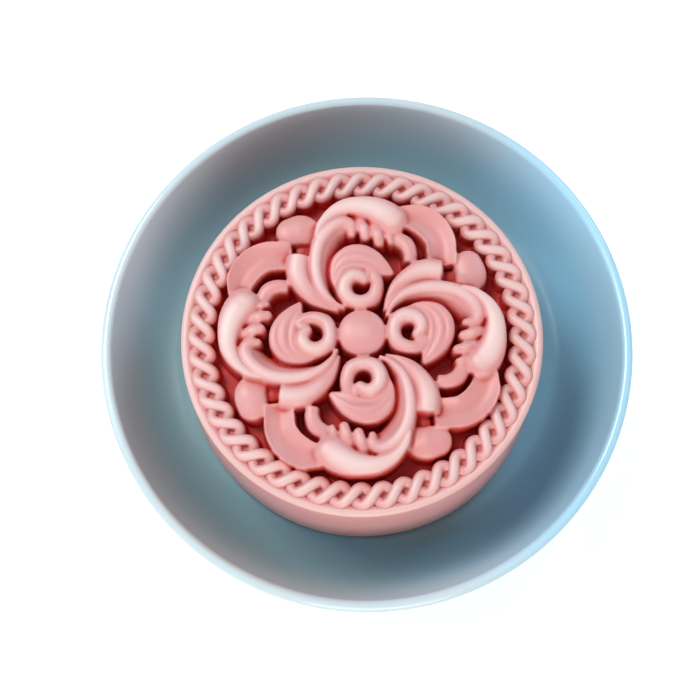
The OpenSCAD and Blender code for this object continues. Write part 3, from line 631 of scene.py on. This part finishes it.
def gloss_on_crests(material, most):
    """Lets the coat fade with depth: oil is brushed on the crests, and none gets into a fold."""
    tree = material.node_tree
    depth = next(node for node in tree.nodes if node.bl_idname == "ShaderNodeAttribute").outputs["Fac"]
    coat = tree.nodes["Principled BSDF"].inputs["Coat Weight"]
    tree.links.new(mapped(tree, depth, 0.0, 0.4, most, 0.0), coat)


gloss_on_crests(dough, 0.4)


def store_painted_light(piece, values):
    """Keeps one value for each point on the mesh, for its material to read."""
    attribute = piece.data.attributes.new("painted_light", "FLOAT", "POINT")
    attribute.data.foreach_set("value", np.asarray(values, np.float32))


# %% Cake mesh
def disc_rings(rings, radius):
    """Points and faces of a disc whose ring k has 6k points."""
    points = [(0.0, 0.0)]
    for k in range(1, rings + 1):
        a = np.arange(6 * k) * math.pi / (3 * k)
        r = radius * k / rings
        points.extend(zip(r * np.cos(a), r * np.sin(a)))
    starts = [0] + [1 + 3 * k * (k - 1) for k in range(1, rings + 1)]
    faces = []
    for k in range(rings):
        inner, outer = starts[k], starts[k + 1]
        count = max(6 * k, 1)
        for side in range(6):
            for i in range(k + 1):
                a = inner + (side * k + i) % count
                b = outer + side * (k + 1) + i
                c = outer + (side * (k + 1) + i + 1) % (6 * (k + 1))
                faces.append((a, b, c))
                if i < k:
                    faces.append((a, c, inner + (side * k + i + 1) % count))
    return np.array(points), faces, starts[-1]


def ring_at(radius, height, angles):
    """Points of a level ring."""
    return np.column_stack([radius * np.cos(angles), radius * np.sin(angles), np.full(len(angles), height)])


def walled(faces, first, around, rings):
    """Adds faces down the rings of points that follow a disc's last ring, and closes the lowest."""
    for ring in range(rings):
        for k in range(around):
            a, b = first + ring * around + k, first + ring * around + (k + 1) % around
            faces.append((a, a + around, b + around, b))
    end = first + rings * around
    faces += [(end + k, end + around, end + (k + 1) % around) for k in range(around)]


CAKE_RINGS = 141
RING_STEP = 0.45
SIDE_SOFTNESS = 3.0
# Painted shade on the side of the cake, darkest at its foot where it sits on the dish.
FOOT_PAINTED_SHADE = 0.30
disc, faces, last_ring = disc_rings(CAKE_RINGS, ROPE_INNER_R)
around = 6 * CAKE_RINGS
angles = np.arange(around) * 2 * math.pi / around
top_radii = np.append(np.arange(ROPE_INNER_R + 0.4, CAKE_R - 0.3, RING_STEP), CAKE_R)
side_corners = [(0, 0), (0.15, -1.0), (0.5, -6.0), (1.0, -cake_h * 0.6), (1.9, 4 - cake_h),
                (1.7, 1.0 - cake_h), (0.6, -cake_h)]
side_outline = rounded([(CAKE_R + out, z) for out, z in side_corners], SIDE_SOFTNESS, closed=False)[1:]
points = [np.column_stack([disc, sample(relief, *disc.T)])]
painted_lights = [sample(painted_light, *disc.T)]
for r in top_radii:
    x, y = r * np.cos(angles), r * np.sin(angles)
    points.append(np.column_stack([x, y, sample(relief, x, y)]))
    painted_lights.append(sample(painted_light, x, y))
# The side isn't quite round: it swells three and seven times round, and least at its top and foot.
for r, z in side_outline:
    wobble = 0.16 * np.sin(3 * angles + 0.6 + z * 0.05) + 0.09 * np.sin(7 * angles + 1.9)
    wobble *= min(1.0, -z / 6) * (1 if z > 0.5 - cake_h else 0.4)
    points.append(ring_at(r + wobble, z, angles))
    # painted shade: the side is painted darker towards its foot
    painted_lights.append(np.full(around, FOOT_PAINTED_SHADE * max(0.0, 1 - (z + cake_h) / 7)))
points.append(np.array([[0.0, 0.0, -cake_h]]))
painted_lights.append(np.array([FOOT_PAINTED_SHADE]))
walled(faces, last_ring, around, len(top_radii) + len(side_outline))
cake_points = np.vstack(points) + (cake_x, cake_y, rim_z)
cake = piece_from("cake_skin_moulded", cake_points, faces, dough, sharp=75)
store_painted_light(cake, np.concatenate(painted_lights))
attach(cake, "cake")
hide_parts("cake_skin")
print(len(cake.data.polygons), "faces in the skin")

# %% [markdown]
# ## The rope border
# A rope of two strands lies in a channel inside the rim. It is one circle that swings in and out 24
# times, and its twin swings the other way, each passing over the other as it turns inwards. That is
# a rule, so Geometry Nodes draw it: a circle of points, moved by sine and cosine, swept to a tube.

# %% Geometry Nodes helpers
def geometry_tree(name, inputs):
    """An empty Geometry Nodes tree with labels of inputs by kind, their sockets, and its end."""
    tree = bpy.data.node_groups.new(name, "GeometryNodeTree")
    tree.interface.new_socket("Geometry", in_out="INPUT", socket_type="NodeSocketGeometry")
    for kind, labels in (inputs | {"NodeSocketMaterial": ["Material"]}).items():
        for label in labels:
            tree.interface.new_socket(label, in_out="INPUT", socket_type=kind)
    tree.interface.new_socket("Geometry", in_out="OUTPUT", socket_type="NodeSocketGeometry")
    return tree, tree.nodes.new("NodeGroupInput").outputs, tree.nodes.new("NodeGroupOutput").inputs


def end_tree(tree, geometry, given, result):
    """Realize Instances, smooth shading and Set Material, which every tree here ends in."""
    real = add_node(tree, "GeometryNodeRealizeInstances", {0: geometry}).outputs[0]
    smooth = add_node(tree, "GeometryNodeSetShadeSmooth", {"Geometry": real}).outputs[0]
    painted = add_node(tree, "GeometryNodeSetMaterial", {"Geometry": smooth, "Material": given["Material"]})
    tree.links.new(painted.outputs[0], result[0])
    return tree


def swept(tree, curve, radius, sides, caps=True, **more):
    """A round section of some sides, swept along a curve."""
    section = add_node(tree, "GeometryNodeCurvePrimitiveCircle", {"Resolution": sides, "Radius": radius})
    return add_node(tree, "GeometryNodeCurveToMesh", {
        "Curve": curve, "Profile Curve": section.outputs["Curve"], "Fill Caps": caps, **more}).outputs[0]


def moved(tree, geometry, by):
    """The geometry, moved."""
    return add_node(tree, "GeometryNodeTransform", {"Geometry": geometry, "Translation": by}).outputs[0]


def laid_round(tree, curve, turn, radius, height):
    """A curve whose points go to an angle, a radius and a height."""
    place = add_node(tree, "ShaderNodeCombineXYZ", {
        "X": maths(tree, "MULTIPLY", ("COSINE", turn), radius),
        "Y": maths(tree, "MULTIPLY", ("SINE", turn), radius), "Z": height})
    return add_node(tree, "GeometryNodeSetPosition",
                    {"Geometry": curve, "Position": place.outputs[0]}).outputs[0]


def grown(name, tree, values):
    """Runs a tree, and returns what it made as a plain mesh object."""
    seed = linked(name + "_seed", bpy.data.meshes.new(name + "_source"))
    modifier = seed.modifiers.new("grow", "NODES")
    modifier.node_group = tree
    for item in tree.interface.items_tree:
        if item.item_type == "SOCKET" and item.in_out == "INPUT" and item.name in values:
            modifier[item.identifier] = values[item.name]
    shape = seed.evaluated_get(bpy.context.evaluated_depsgraph_get())
    mesh = bpy.data.meshes.new_from_object(shape)
    bpy.data.objects.remove(seed)
    return linked(name, mesh)


# %% Rope tree
STRAND_SIDES = 14
POINTS_A_TWIST = 22


def make_rope_tree():
    """One strand of a flat rope laid in a ring."""
    tree, given, result = geometry_tree("rope strand", {
        WHOLE: ["Points"], FLOAT: ["Ring radius", "Twists", "Swing", "Lift", "Side", "Strand radius"],
        VECTOR: ["Centre"]})
    ring = add_node(tree, "GeometryNodeCurvePrimitiveCircle", {"Resolution": given["Points"]})
    index = add_node(tree, "GeometryNodeInputIndex").outputs[0]
    turn = maths(tree, "MULTIPLY", ("DIVIDE", index, given["Points"]), 2 * math.pi)
    phase = maths(tree, "MULTIPLY", turn, given["Twists"])
    swing = ("MULTIPLY", ("MULTIPLY", ("COSINE", phase), given["Swing"]), given["Side"])
    lift = maths(tree, "MULTIPLY", ("MULTIPLY", ("SINE", phase), given["Lift"]), given["Side"])
    radius = maths(tree, "ADD", given["Ring radius"], swing)
    path = laid_round(tree, ring.outputs["Curve"], turn, radius, lift)
    strand = swept(tree, path, given["Strand radius"], STRAND_SIDES, caps=False)
    return end_tree(tree, moved(tree, strand, given["Centre"]), given, result)


rope_tree = make_rope_tree()
strands = [grown("strand", rope_tree, {
    "Points": ROPE_TWISTS * POINTS_A_TWIST, "Ring radius": ROPE_R * MM, "Twists": float(ROPE_TWISTS),
    "Swing": ROPE_SWING * MM, "Lift": STRAND_LIFT * MM, "Side": side, "Strand radius": STRAND_R * MM,
    "Centre": (cake_x * MM, cake_y * MM, (rim_z + ROPE_TOP - STRAND_R) * MM), "Material": dough})
    for side in (1.0, -1.0)]


def joined(name, parts):
    """One piece from several plain meshes of the same material."""
    merged = bmesh.new()
    for part in parts:
        merged.from_mesh(part.data)
    mesh = bpy.data.meshes.new(name)
    merged.to_mesh(mesh)
    merged.free()
    mesh.materials.append(parts[0].data.materials[0])
    for part in parts:
        bpy.data.objects.remove(part)
    return linked(name, mesh)


rope = joined("cake_rope_border", strands)
rope_heights = np.array([v.co.z for v in rope.data.vertices]) / MM - rim_z
# The strands are painted darker low down, where shade falls between them, and paler on their tops, a painted
# highlight.
store_painted_light(rope, np.clip((-0.35 - rope_heights) / 2.4, 0, 1) * 0.62 - 0.18 * np.clip(rope_heights, 0, 1))
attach(rope, "cake")
print(len(rope.data.polygons), "faces in the rope")

# %% [markdown]
# ## The dish
# A small glazed dish: a flat middle, one curve up to a thin rounded lip, and a foot ring below. It
# is a turned shape. The glaze is smooth and glassy. Its colour has painted light in it: it is painted
# darker low in the well, as painted shade, and paler up towards the lip, as painted light, and it
# goes from grey to a clearer blue across the dish, a painted reflection of a blue window.

# %% Dish
dish_low, dish_high = box_mm("dish")
dish_x, dish_y = ((dish_low + dish_high) / 2)[:2]
dish_r = (dish_high[0] - dish_low[0]) / 2
DISH_WALL = 3.2
DISH_FLAT_R = 56.0
DISH_FOOT_R = 46.0
DISH_FOOT_W = 3.4
DISH_RISE = math.radians(62)
# Painted light in the glaze: a blue painted reflection across the dish, and paler painted light up towards
# the lip.
GLAZE_PAINTED_REFLECTION = (0.20, 0.47, 0.64)
LIP_PAINTED_LIGHT = (0.66, 0.75, 0.76)
LIP_PAINTED_REFLECTION = (0.46, 0.76, 0.92)
LIP_PAINTED_LIGHT_RISE = 19
PAINTED_REFLECTION_FROM = 20
PAINTED_REFLECTION_TO = 64
LIP_R = DISH_WALL / 2
dish_floor_z = cake_base_z
dish_run = dish_r - LIP_R - DISH_FLAT_R - LIP_R * math.sin(DISH_RISE)
dish_climb = dish_high[2] - LIP_R - dish_floor_z + LIP_R * math.cos(DISH_RISE)


def dish_wall(t, out=0.0):
    """A point of the dish's curve at angle t, moved outwards through the wall."""
    r = DISH_FLAT_R + dish_run * math.sin(t) / math.sin(DISH_RISE)
    z = dish_floor_z + dish_climb * (1 - math.cos(t)) / (1 - math.cos(DISH_RISE))
    along = np.array([dish_run * math.cos(t) / math.sin(DISH_RISE),
                      dish_climb * math.sin(t) / (1 - math.cos(DISH_RISE))])
    normal = np.array([along[1], -along[0]]) / np.linalg.norm(along)
    return r + normal[0] * out, z + normal[1] * out


def glaze_with_painted_light(tree, base):
    """Paints light into the glaze: a blue painted reflection across the dish, and paler with height, a
    painted light at the lip over a darker, painted shade in the well.
    """
    place = add_node(tree, "ShaderNodeTexCoord").outputs["Object"]
    split = add_node(tree, "ShaderNodeSeparateXYZ", {0: place}).outputs
    climb, across = (
        mapped(tree, split[axis], start * MM, end * MM, interpolation_type="SMOOTHSTEP")
        for axis, start, end in (("Z", dish_high[2] - LIP_PAINTED_LIGHT_RISE, dish_high[2] + 2),
                                 ("X", dish_x + PAINTED_REFLECTION_FROM, dish_x + PAINTED_REFLECTION_TO)))
    # painted reflection: the glaze is painted bluer towards +X
    body = colour_mix(tree, across, base, GLAZE_PAINTED_REFLECTION)
    # painted light: paler with height towards the lip, so the well stays darker, as painted shade
    return colour_mix(tree, climb, body, colour_mix(tree, across, LIP_PAINTED_LIGHT, LIP_PAINTED_REFLECTION))


glaze = finish_material("dish_glaze", (0.20, 0.35, 0.38), (0.17, 0.34, 0.40), 0.2, grain=300, bump=0.02,
                        patch_scale=14, amount=0.8, colour_from=glaze_with_painted_light, Specular_IOR_Level=0.5,
                        Coat_Weight=0.35, Coat_Roughness=0.04)
WALL_STEPS = 28
wall_angles = np.linspace(0, DISH_RISE, WALL_STEPS + 1)
lip_centre = dish_wall(DISH_RISE, LIP_R)
lip_edge = dish_wall(DISH_RISE, DISH_WALL)
lip_turn = math.degrees(math.atan2(lip_edge[1] - lip_centre[1], lip_edge[0] - lip_centre[0]))
under_z = dish_floor_z - DISH_WALL
foot_out_r = DISH_FOOT_R + DISH_FOOT_W
dish_outline = ([(0, dish_floor_z), (DISH_FLAT_R * 0.5, dish_floor_z)]
                + [dish_wall(t) for t in wall_angles]
                + arc(*lip_centre, LIP_R, lip_turn + 165, lip_turn + 15, 10)
                + [dish_wall(t, DISH_WALL) for t in wall_angles[::-1]]
                + rounded([(DISH_FLAT_R - 1, under_z), (foot_out_r, under_z), (foot_out_r - 1, 0),
                           (DISH_FOOT_R + 0.8, 0), (DISH_FOOT_R, under_z), (DISH_FOOT_R - 4, under_z)],
                          0.7, 4, closed=False)
                + [(0, under_z)])
dish = lathe("dish_glazed", dish_outline, glaze, (dish_x, dish_y), steps=256, sharp=60)
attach(dish, "dish")
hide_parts("dish")
print(f"dish {2 * dish_r:.0f} mm across, {len(dish.data.polygons)} faces")

# %% [markdown]
# ## The barrel of the press
# The press stands beside the dish: a moulded plastic barrel with a bore as wide as the cake, a roof,
# and a neck that holds the spring. It is one turned wall, so it is lathed like the dish. Four air
# vents are drilled through the roof with a Boolean, and 36 grip ribs repeat round the wall, which is
# work for Geometry Nodes.

# %% Sizes of the press, from the model
press_high = box_mm("barrel")[1]
bush_low, bush_high = box_mm("guide_bush")
BUSH_FLANGE = 1.2
roof_z = bush_low[2]
ROOF_T = 4.0
roof_top_z = roof_z + ROOF_T
neck_floor_z = bush_high[2] - BUSH_FLANGE
neck_top_z = press_high[2]
BORE_R = 50.5
BARREL_R = 53.5
FOOT_R = press_high[0]
FOOT_H = 5.0
SHOULDER_R = 8.0
NECK_R = 18.2
CUP_R = 14.2
BUSH_HOLE_R = 11.1
VENTS = 4
VENT_R = 3.5
VENT_AT = 32.0
VENT_EDGE = 0.4
print(f"press {2 * FOOT_R:.0f} mm across, roof at {roof_z:.1f}, neck up to {neck_top_z:.1f} mm")

# %% [markdown]
# ## Plastics, steels and fillings
# One recipe makes them all, so a table holds only what differs: two colours and a roughness, then
# the grain for each metre, its bump, the patches for each metre and how strongly they show.

# %% Finishes
def lets_light_in(weight, radius, scale):
    """The sockets of a material that light goes a little way into."""
    return {"Subsurface_Weight": weight, "Subsurface_Radius": radius, "Subsurface_Scale": scale}


def coat(weight, roughness):
    """The sockets of a clear skin that is glossier than what it covers."""
    return {"Coat_Weight": weight, "Coat_Roughness": roughness}


METAL = {"Metallic": 1.0}
FINISHES = {
    "barrel_plastic": ((0.80, 0.76, 0.67), (0.83, 0.80, 0.73), 0.33, 1500, 0.10, 18, 0.6,
                       lets_light_in(0.08, (1.0, 0.9, 0.7), 0.002) | coat(0.15, 0.2)),
    "knob_plastic": ((0.74, 0.22, 0.24), (0.79, 0.29, 0.30), 0.26, 1300, 0.06, 22, 0.6,
                     lets_light_in(0.08, (1.0, 0.4, 0.35), 0.002) | coat(0.3, 0.12)),
    "cap_plastic": ((0.82, 0.74, 0.66), (0.85, 0.79, 0.73), 0.3, 1500, 0.08, 30, 0.6, coat(0.2, 0.15)),
    "rod_plastic": ((0.62, 0.63, 0.62), (0.67, 0.68, 0.68), 0.3, 2200, 0.08, 30, 0.5, {}),
    "bush_plastic": ((0.10, 0.105, 0.11), (0.13, 0.13, 0.135), 0.42, 1800, 0.1, 60, 0.5, {}),
    "piston_plastic": ((0.72, 0.72, 0.70), (0.76, 0.76, 0.74), 0.4, 1500, 0.1, 25, 0.5, {}),
    "stamp_plastic": ((0.79, 0.74, 0.64), (0.84, 0.80, 0.71), 0.28, 1800, 0.06, 30, 0.5,
                      lets_light_in(0.15, (1.0, 0.8, 0.6), 0.003)),
    "spring_steel": ((0.60, 0.60, 0.60), (0.50, 0.50, 0.51), 0.24, 2500, 0.08, 200, 0.6, METAL),
    "seat_steel": ((0.56, 0.56, 0.57), (0.48, 0.48, 0.49), 0.3, 2000, 0.12, 150, 0.6, METAL),
    "screw_steel": ((0.62, 0.61, 0.59), (0.52, 0.51, 0.50), 0.26, 2400, 0.1, 180, 0.6, METAL),
    "cake_filling": ((0.16, 0.055, 0.025), (0.22, 0.085, 0.04), 0.5, 900, 0.6, 120, 0.8, {}),
    "cake_yolk": ((0.85, 0.36, 0.05), (0.75, 0.24, 0.03), 0.36, 1400, 0.5, 160, 0.8,
                  lets_light_in(0.2, (1.0, 0.5, 0.2), 0.003)),
}
finishes = {name: finish_material(name, *look, **sockets) for name, (*look, sockets) in FINISHES.items()}
print(len(finishes), "finishes")

# %% Barrel
def place(piece, body, slot, *nodes):
    """Makes a piece ride on a body and stand for its nodes, which it hides. The slot is not used."""
    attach(piece, body)
    if nodes:
        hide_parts(*nodes)
    print(f"{piece.name}: {len(piece.data.polygons)} faces on {body}")


def applied(piece):
    """Turns the piece's modifiers into its mesh."""
    shape = piece.evaluated_get(bpy.context.evaluated_depsgraph_get())
    mesh = bpy.data.meshes.new_from_object(shape)
    piece.modifiers.clear()
    piece.data = mesh


barrel_outline = rounded(
    [(BORE_R, 0), (FOOT_R - 1, 0), (FOOT_R, 1), (FOOT_R, FOOT_H - 2), (BARREL_R, FOOT_H)]
    + arc(BARREL_R - SHOULDER_R, roof_top_z - SHOULDER_R, SHOULDER_R, 0, 90, 14)
    + arc(NECK_R + 3, roof_top_z + 3, 3, 270, 180, 8)
    + [(NECK_R, neck_top_z), (CUP_R, neck_top_z), (CUP_R, neck_floor_z), (BUSH_HOLE_R, neck_floor_z),
       (BUSH_HOLE_R, roof_z), (BORE_R, roof_z)], 0.9, 4)
barrel = lathe("barrel_shell", barrel_outline, finishes["barrel_plastic"], steps=180)
drills = bmesh.new()
for k in range(VENTS):
    turn = math.radians(45 + 90 * k)
    made = bmesh.ops.create_cone(drills, cap_ends=True, segments=48, radius1=VENT_R * MM,
                                 radius2=VENT_R * MM, depth=4 * ROOF_T * MM)
    bmesh.ops.translate(drills, verts=made["verts"], vec=Vector(
        (VENT_AT * math.cos(turn), VENT_AT * math.sin(turn), roof_z + ROOF_T / 2)) * MM)
drill = linked("vent_drills", bpy.data.meshes.new("vent_drills"))
drills.to_mesh(drill.data)
drills.free()
vents = barrel.modifiers.new("vents", "BOOLEAN")
vents.object = drill
vents.solver = "EXACT"
edges = barrel.modifiers.new("vent edges", "BEVEL")
edges.width = VENT_EDGE * MM
edges.segments = 2
edges.limit_method = "ANGLE"
edges.angle_limit = math.radians(60)
applied(barrel)
bpy.data.objects.remove(drill)
barrel.data.set_sharp_from_angle(angle=math.radians(35))
place(barrel, "barrel", "barrel_plastic", "barrel")


# %% Grip ribs
GRIP_RIBS = 36
GRIP_RIB_R = 1.3
GRIP_MARGIN = 5.0
RIB_SIDES = 18
RIB_POINTS = 61
RIB_END_SHARE = 14.0  # a rounded end is a fourteenth of half a rib
RIB_THINNEST = 0.05


def make_rib_tree():
    """Upright ribs with rounded ends, standing in a ring."""
    tree, given, result = geometry_tree("grip ribs", {
        WHOLE: ["Count"], FLOAT: ["Ring radius", "Rib radius"], VECTOR: ["Low", "High"]})
    line = add_node(tree, "GeometryNodeCurvePrimitiveLine", {"Start": given["Low"], "End": given["High"]})
    fine = add_node(tree, "GeometryNodeResampleCurve", {"Curve": line.outputs[0], "Count": RIB_POINTS})
    factor = add_node(tree, "GeometryNodeSplineParameter").outputs["Factor"]
    from_end = ("SUBTRACT", 1.0, ("ABSOLUTE", ("SUBTRACT", ("MULTIPLY", factor, 2.0), 1.0)))
    near = maths(tree, "MINIMUM", ("MULTIPLY", from_end, RIB_END_SHARE), 1.0)
    swell = maths(tree, "MAXIMUM", ("SQRT", ("MULTIPLY", near, ("SUBTRACT", 2.0, near))), RIB_THINNEST)
    rib = swept(tree, fine.outputs[0], given["Rib radius"], RIB_SIDES, Scale=swell)
    ring = add_node(tree, "GeometryNodeMeshCircle",
                    {"Vertices": given["Count"], "Radius": given["Ring radius"]})
    stand = add_node(tree, "GeometryNodeInstanceOnPoints", {"Points": ring.outputs[0], "Instance": rib})
    return end_tree(tree, stand.outputs[0], given, result)


ribs = grown("barrel_grip_ribs", make_rib_tree(), {
    "Count": GRIP_RIBS, "Ring radius": (BARREL_R - 0.2) * MM, "Rib radius": GRIP_RIB_R * MM,
    "Low": (0.0, 0.0, (FOOT_H + GRIP_MARGIN) * MM),
    "High": (0.0, 0.0, (roof_top_z - SHOULDER_R - GRIP_MARGIN) * MM),
    "Material": finishes["barrel_plastic"]})
place(ribs, "barrel", "barrel_plastic")

# %% [markdown]
# ## The return spring
# The spring lifts the plunger when the palm lets go. Its wire closes up at both ends so that it
# stands flat on its washers, and is open between. Geometry Nodes bend a line into that coil and
# sweep it. It can't follow the rod and stay on its seat, so it rides with the barrel.

# %% Spring
spring_low, spring_high = box_mm("return_spring")
WIRE_D = 1.8
SPRING_R = (spring_high[0] - spring_low[0]) / 2
OPEN_TURNS = 8.0
WIRE_POINTS = 481
WIRE_SIDES = 16
END_PITCH = WIRE_D + 0.6
open_pitch = (spring_high[2] - spring_low[2] - WIRE_D - 2 * END_PITCH) / OPEN_TURNS


def make_coil_tree():
    """A wire wound in a coil, with one closed turn at each end."""
    tree, given, result = geometry_tree("coil", {
        WHOLE: ["Points"], FLOAT: ["Open turns", "Coil radius", "Wire radius", "End pitch", "Open pitch"],
        VECTOR: ["Foot"]})
    line = add_node(tree, "GeometryNodeCurvePrimitiveLine")
    fine = add_node(tree, "GeometryNodeResampleCurve", {"Curve": line.outputs[0], "Count": given["Points"]})
    factor = add_node(tree, "GeometryNodeSplineParameter").outputs["Factor"]
    turns = maths(tree, "MULTIPLY", factor, ("ADD", given["Open turns"], 2.0))
    opened = maths(tree, "MINIMUM", ("MAXIMUM", ("SUBTRACT", turns, 1.0), 0.0), given["Open turns"])
    climb = maths(tree, "ADD", ("MULTIPLY", opened, given["Open pitch"]),
                  ("MULTIPLY", ("SUBTRACT", turns, opened), given["End pitch"]))
    angle = maths(tree, "MULTIPLY", turns, 2 * math.pi)
    coil = laid_round(tree, fine.outputs[0], angle, given["Coil radius"], climb)
    wire = swept(tree, coil, given["Wire radius"], WIRE_SIDES)
    return end_tree(tree, moved(tree, wire, given["Foot"]), given, result)


spring = grown("spring_wire", make_coil_tree(), {
    "Points": WIRE_POINTS, "Open turns": OPEN_TURNS, "Coil radius": (SPRING_R - WIRE_D / 2) * MM,
    "Wire radius": WIRE_D / 2 * MM, "End pitch": END_PITCH * MM, "Open pitch": open_pitch * MM,
    "Foot": (0.0, 0.0, (spring_low[2] + WIRE_D / 2) * MM), "Material": finishes["spring_steel"]})
place(spring, "barrel", "spring_steel", "return_spring")
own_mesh(spring)

# %% [markdown]
# ## The knob and its cap
# The palm pushes on a round knob with twelve finger flutes. The knob is lathed, and each point is
# pulled in to where a flute lies, with a soft edge, so that no Boolean is needed.

# %% Knob
knob_low, knob_high = box_mm("knob")
KNOB_R = 32.0
KNOB_FLUTES = 12
FLUTE_R = 6.6
FLUTE_AT = KNOB_R + 5
FLUTE_SOFT = 0.7
CAP_R = 12.0
CAP_T = 2.0
CAP_DOME = 1.15
SPIGOT_R = 6.1
POCKET_R = 7.1
FOOT_BEND_R = 8
CROWN_H = 11
knob_z, knob_top_z = knob_low[2], knob_high[2]
knob_seat_z = box_mm("upper_spring_seat")[1][2]
cap_seat_z = box_mm("knob_cap")[0][2]
pocket_z = box_mm("knob_washer")[0][2]


def fluted(angle, r, z):
    """The knob's radius at an angle: pulled in at the flutes, which run out under the crown."""
    if r < CAP_R + 4:
        return r
    off = (angle + math.pi / KNOB_FLUTES) % (2 * math.pi / KNOB_FLUTES) - math.pi / KNOB_FLUTES
    inside = FLUTE_R ** 2 - (FLUTE_AT * math.sin(off)) ** 2
    reach = FLUTE_AT * math.cos(off) - math.sqrt(inside) if inside > 0 else FLUTE_AT
    runs_out = min(max((z - (knob_top_z - 13)) / 6, 0), 1)
    reach += 6 * runs_out ** 2
    return -FLUTE_SOFT * math.log(math.exp(-r / FLUTE_SOFT) + math.exp(-reach / FLUTE_SOFT))


crown = [(CAP_R + 2 + (KNOB_R - CAP_R - 2) * math.cos(math.radians(a)),
          knob_top_z - CROWN_H + CROWN_H * math.sin(math.radians(a))) for a in range(0, 89, 4)]
straight = [(KNOB_R, z) for z in np.linspace(knob_z + FOOT_BEND_R, knob_top_z - CROWN_H, 10)[1:-1]]
knob_outline = rounded(
    [(CUP_R, knob_z), (KNOB_R - FOOT_BEND_R - 1, knob_z)]
    + arc(KNOB_R - FOOT_BEND_R, knob_z + FOOT_BEND_R, FOOT_BEND_R, 270, 360, 10) + straight + crown
    + [(CAP_R + 1, knob_top_z), (CAP_R + 0.1, knob_top_z - 0.6), (CAP_R + 0.1, cap_seat_z),
       (POCKET_R, cap_seat_z), (POCKET_R, pocket_z), (SPIGOT_R, pocket_z), (SPIGOT_R, knob_seat_z),
       (CUP_R, knob_seat_z)], 0.5, 3)
knob = lathe("knob_fluted", knob_outline, finishes["knob_plastic"], steps=288, swell=fluted, sharp=40)
place(knob, "plunger", "knob_plastic", "knob")

cap_outline = rounded(
    [(0, cap_seat_z), (CAP_R, cap_seat_z), (CAP_R, cap_seat_z + CAP_T), (CAP_R - 0.7, cap_seat_z + CAP_T)]
    + [(r, cap_seat_z + CAP_T + CAP_DOME * (1 - (r / CAP_R) ** 2)) for r in np.linspace(CAP_R - 1.2, 1.5, 9)]
    + [(0, cap_seat_z + CAP_T + CAP_DOME)], 0.5, 3)
cap = lathe("knob_cap_domed", cap_outline, finishes["cap_plastic"], steps=96)
place(cap, "plunger", "cap_plastic", "knob_cap")

# %% [markdown]
# ## The stamp
# The stamp plate is the negative of the cake's top: it takes the same heights, on a disc of the same
# kind. Its studs hang in the keyhole slots of the piston, so that it can be turned, pulled off and
# changed.

# %% Stamp
STAMP_R = 50.2
STAMP_BACK = 3.4
STAMP_RINGS = 110
STUD_AT = 36.0
STUD_R = 3.0
STUD_HEAD_R = 5.0
STUD_HEAD_T = 2.0
STUDS = 3
PISTON_GAP = 0.3
stud_top_z = box_mm("stamp_plate")[1][2]
plate_top_z = box_mm("piston")[0][2] - PISTON_GAP
land_z = plate_top_z - STAMP_BACK - RELIEF_UP
stretch = STAMP_R / CAKE_R
stamp_disc, stamp_faces, last_ring = disc_rings(STAMP_RINGS, RIM_INNER_R)
heights = sample(stamp_relief, *stamp_disc.T)
heights[last_ring:] = 0
stamp_points = [np.column_stack([stamp_disc * stretch, land_z + heights])]
around = 6 * STAMP_RINGS
angles = np.arange(around) * 2 * math.pi / around
back_rings = [(STAMP_R - 0.3, land_z), (STAMP_R, land_z + 0.3), (STAMP_R, plate_top_z - 0.7),
              (STAMP_R - 0.7, plate_top_z), (STUD_AT, plate_top_z)]
for r, z in back_rings:
    stamp_points.append(ring_at(r, z, angles))
stamp_points.append(np.array([[0.0, 0.0, plate_top_z]]))
walled(stamp_faces, last_ring, around, len(back_rings))
stamp_finish = finishes["stamp_plastic"]
plate = piece_from("stamp_face", np.vstack(stamp_points), stamp_faces, stamp_finish, sharp=60)
stud_outline = rounded(
    [(0, plate_top_z - 0.5), (STUD_R, plate_top_z - 0.5), (STUD_R, stud_top_z - STUD_HEAD_T),
     (STUD_HEAD_R, stud_top_z - STUD_HEAD_T), (STUD_HEAD_R, stud_top_z), (0, stud_top_z)], 0.4, 3)
studs = []
for k in range(STUDS):
    turn = k * 2 * math.pi / STUDS
    studs.append(lathe(f"stud_{k}", stud_outline, stamp_finish, steps=40,
                       centre=(STUD_AT * math.cos(turn), STUD_AT * math.sin(turn))))
stamp = joined("stamp_moulded", [plate] + studs)
smoothed(stamp.data, 60)
place(stamp, "stamp", "stamp_plastic", "stamp_plate")
print(f"stamp land at {land_z:.1f} mm")

# %% [markdown]
# ## The pieces that keep their CAD shape
# Washers, screws, the guide bush, the rod and the piston are already exact solids, so each only
# gets a finish. So do the paste and the yolk, which nobody sees before the cake is cut.

# %% Finishes of the carried-over pieces
carried = {
    "bush_plastic": ["guide_bush"], "rod_plastic": ["plunger_rod"], "piston_plastic": ["piston"],
    "seat_steel": ["lower_spring_seat", "upper_spring_seat", "knob_washer", "piston_washer"],
    "screw_steel": ["knob_screw", "piston_screw"], "cake_filling": ["cake_filling"],
    "cake_yolk": ["cake_yolk"]}
for name, nodes in carried.items():
    for node in nodes:
        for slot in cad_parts[node].material_slots:
            slot.material = finishes[name]
print(sum(map(len, carried.values())), "pieces keep their shape")
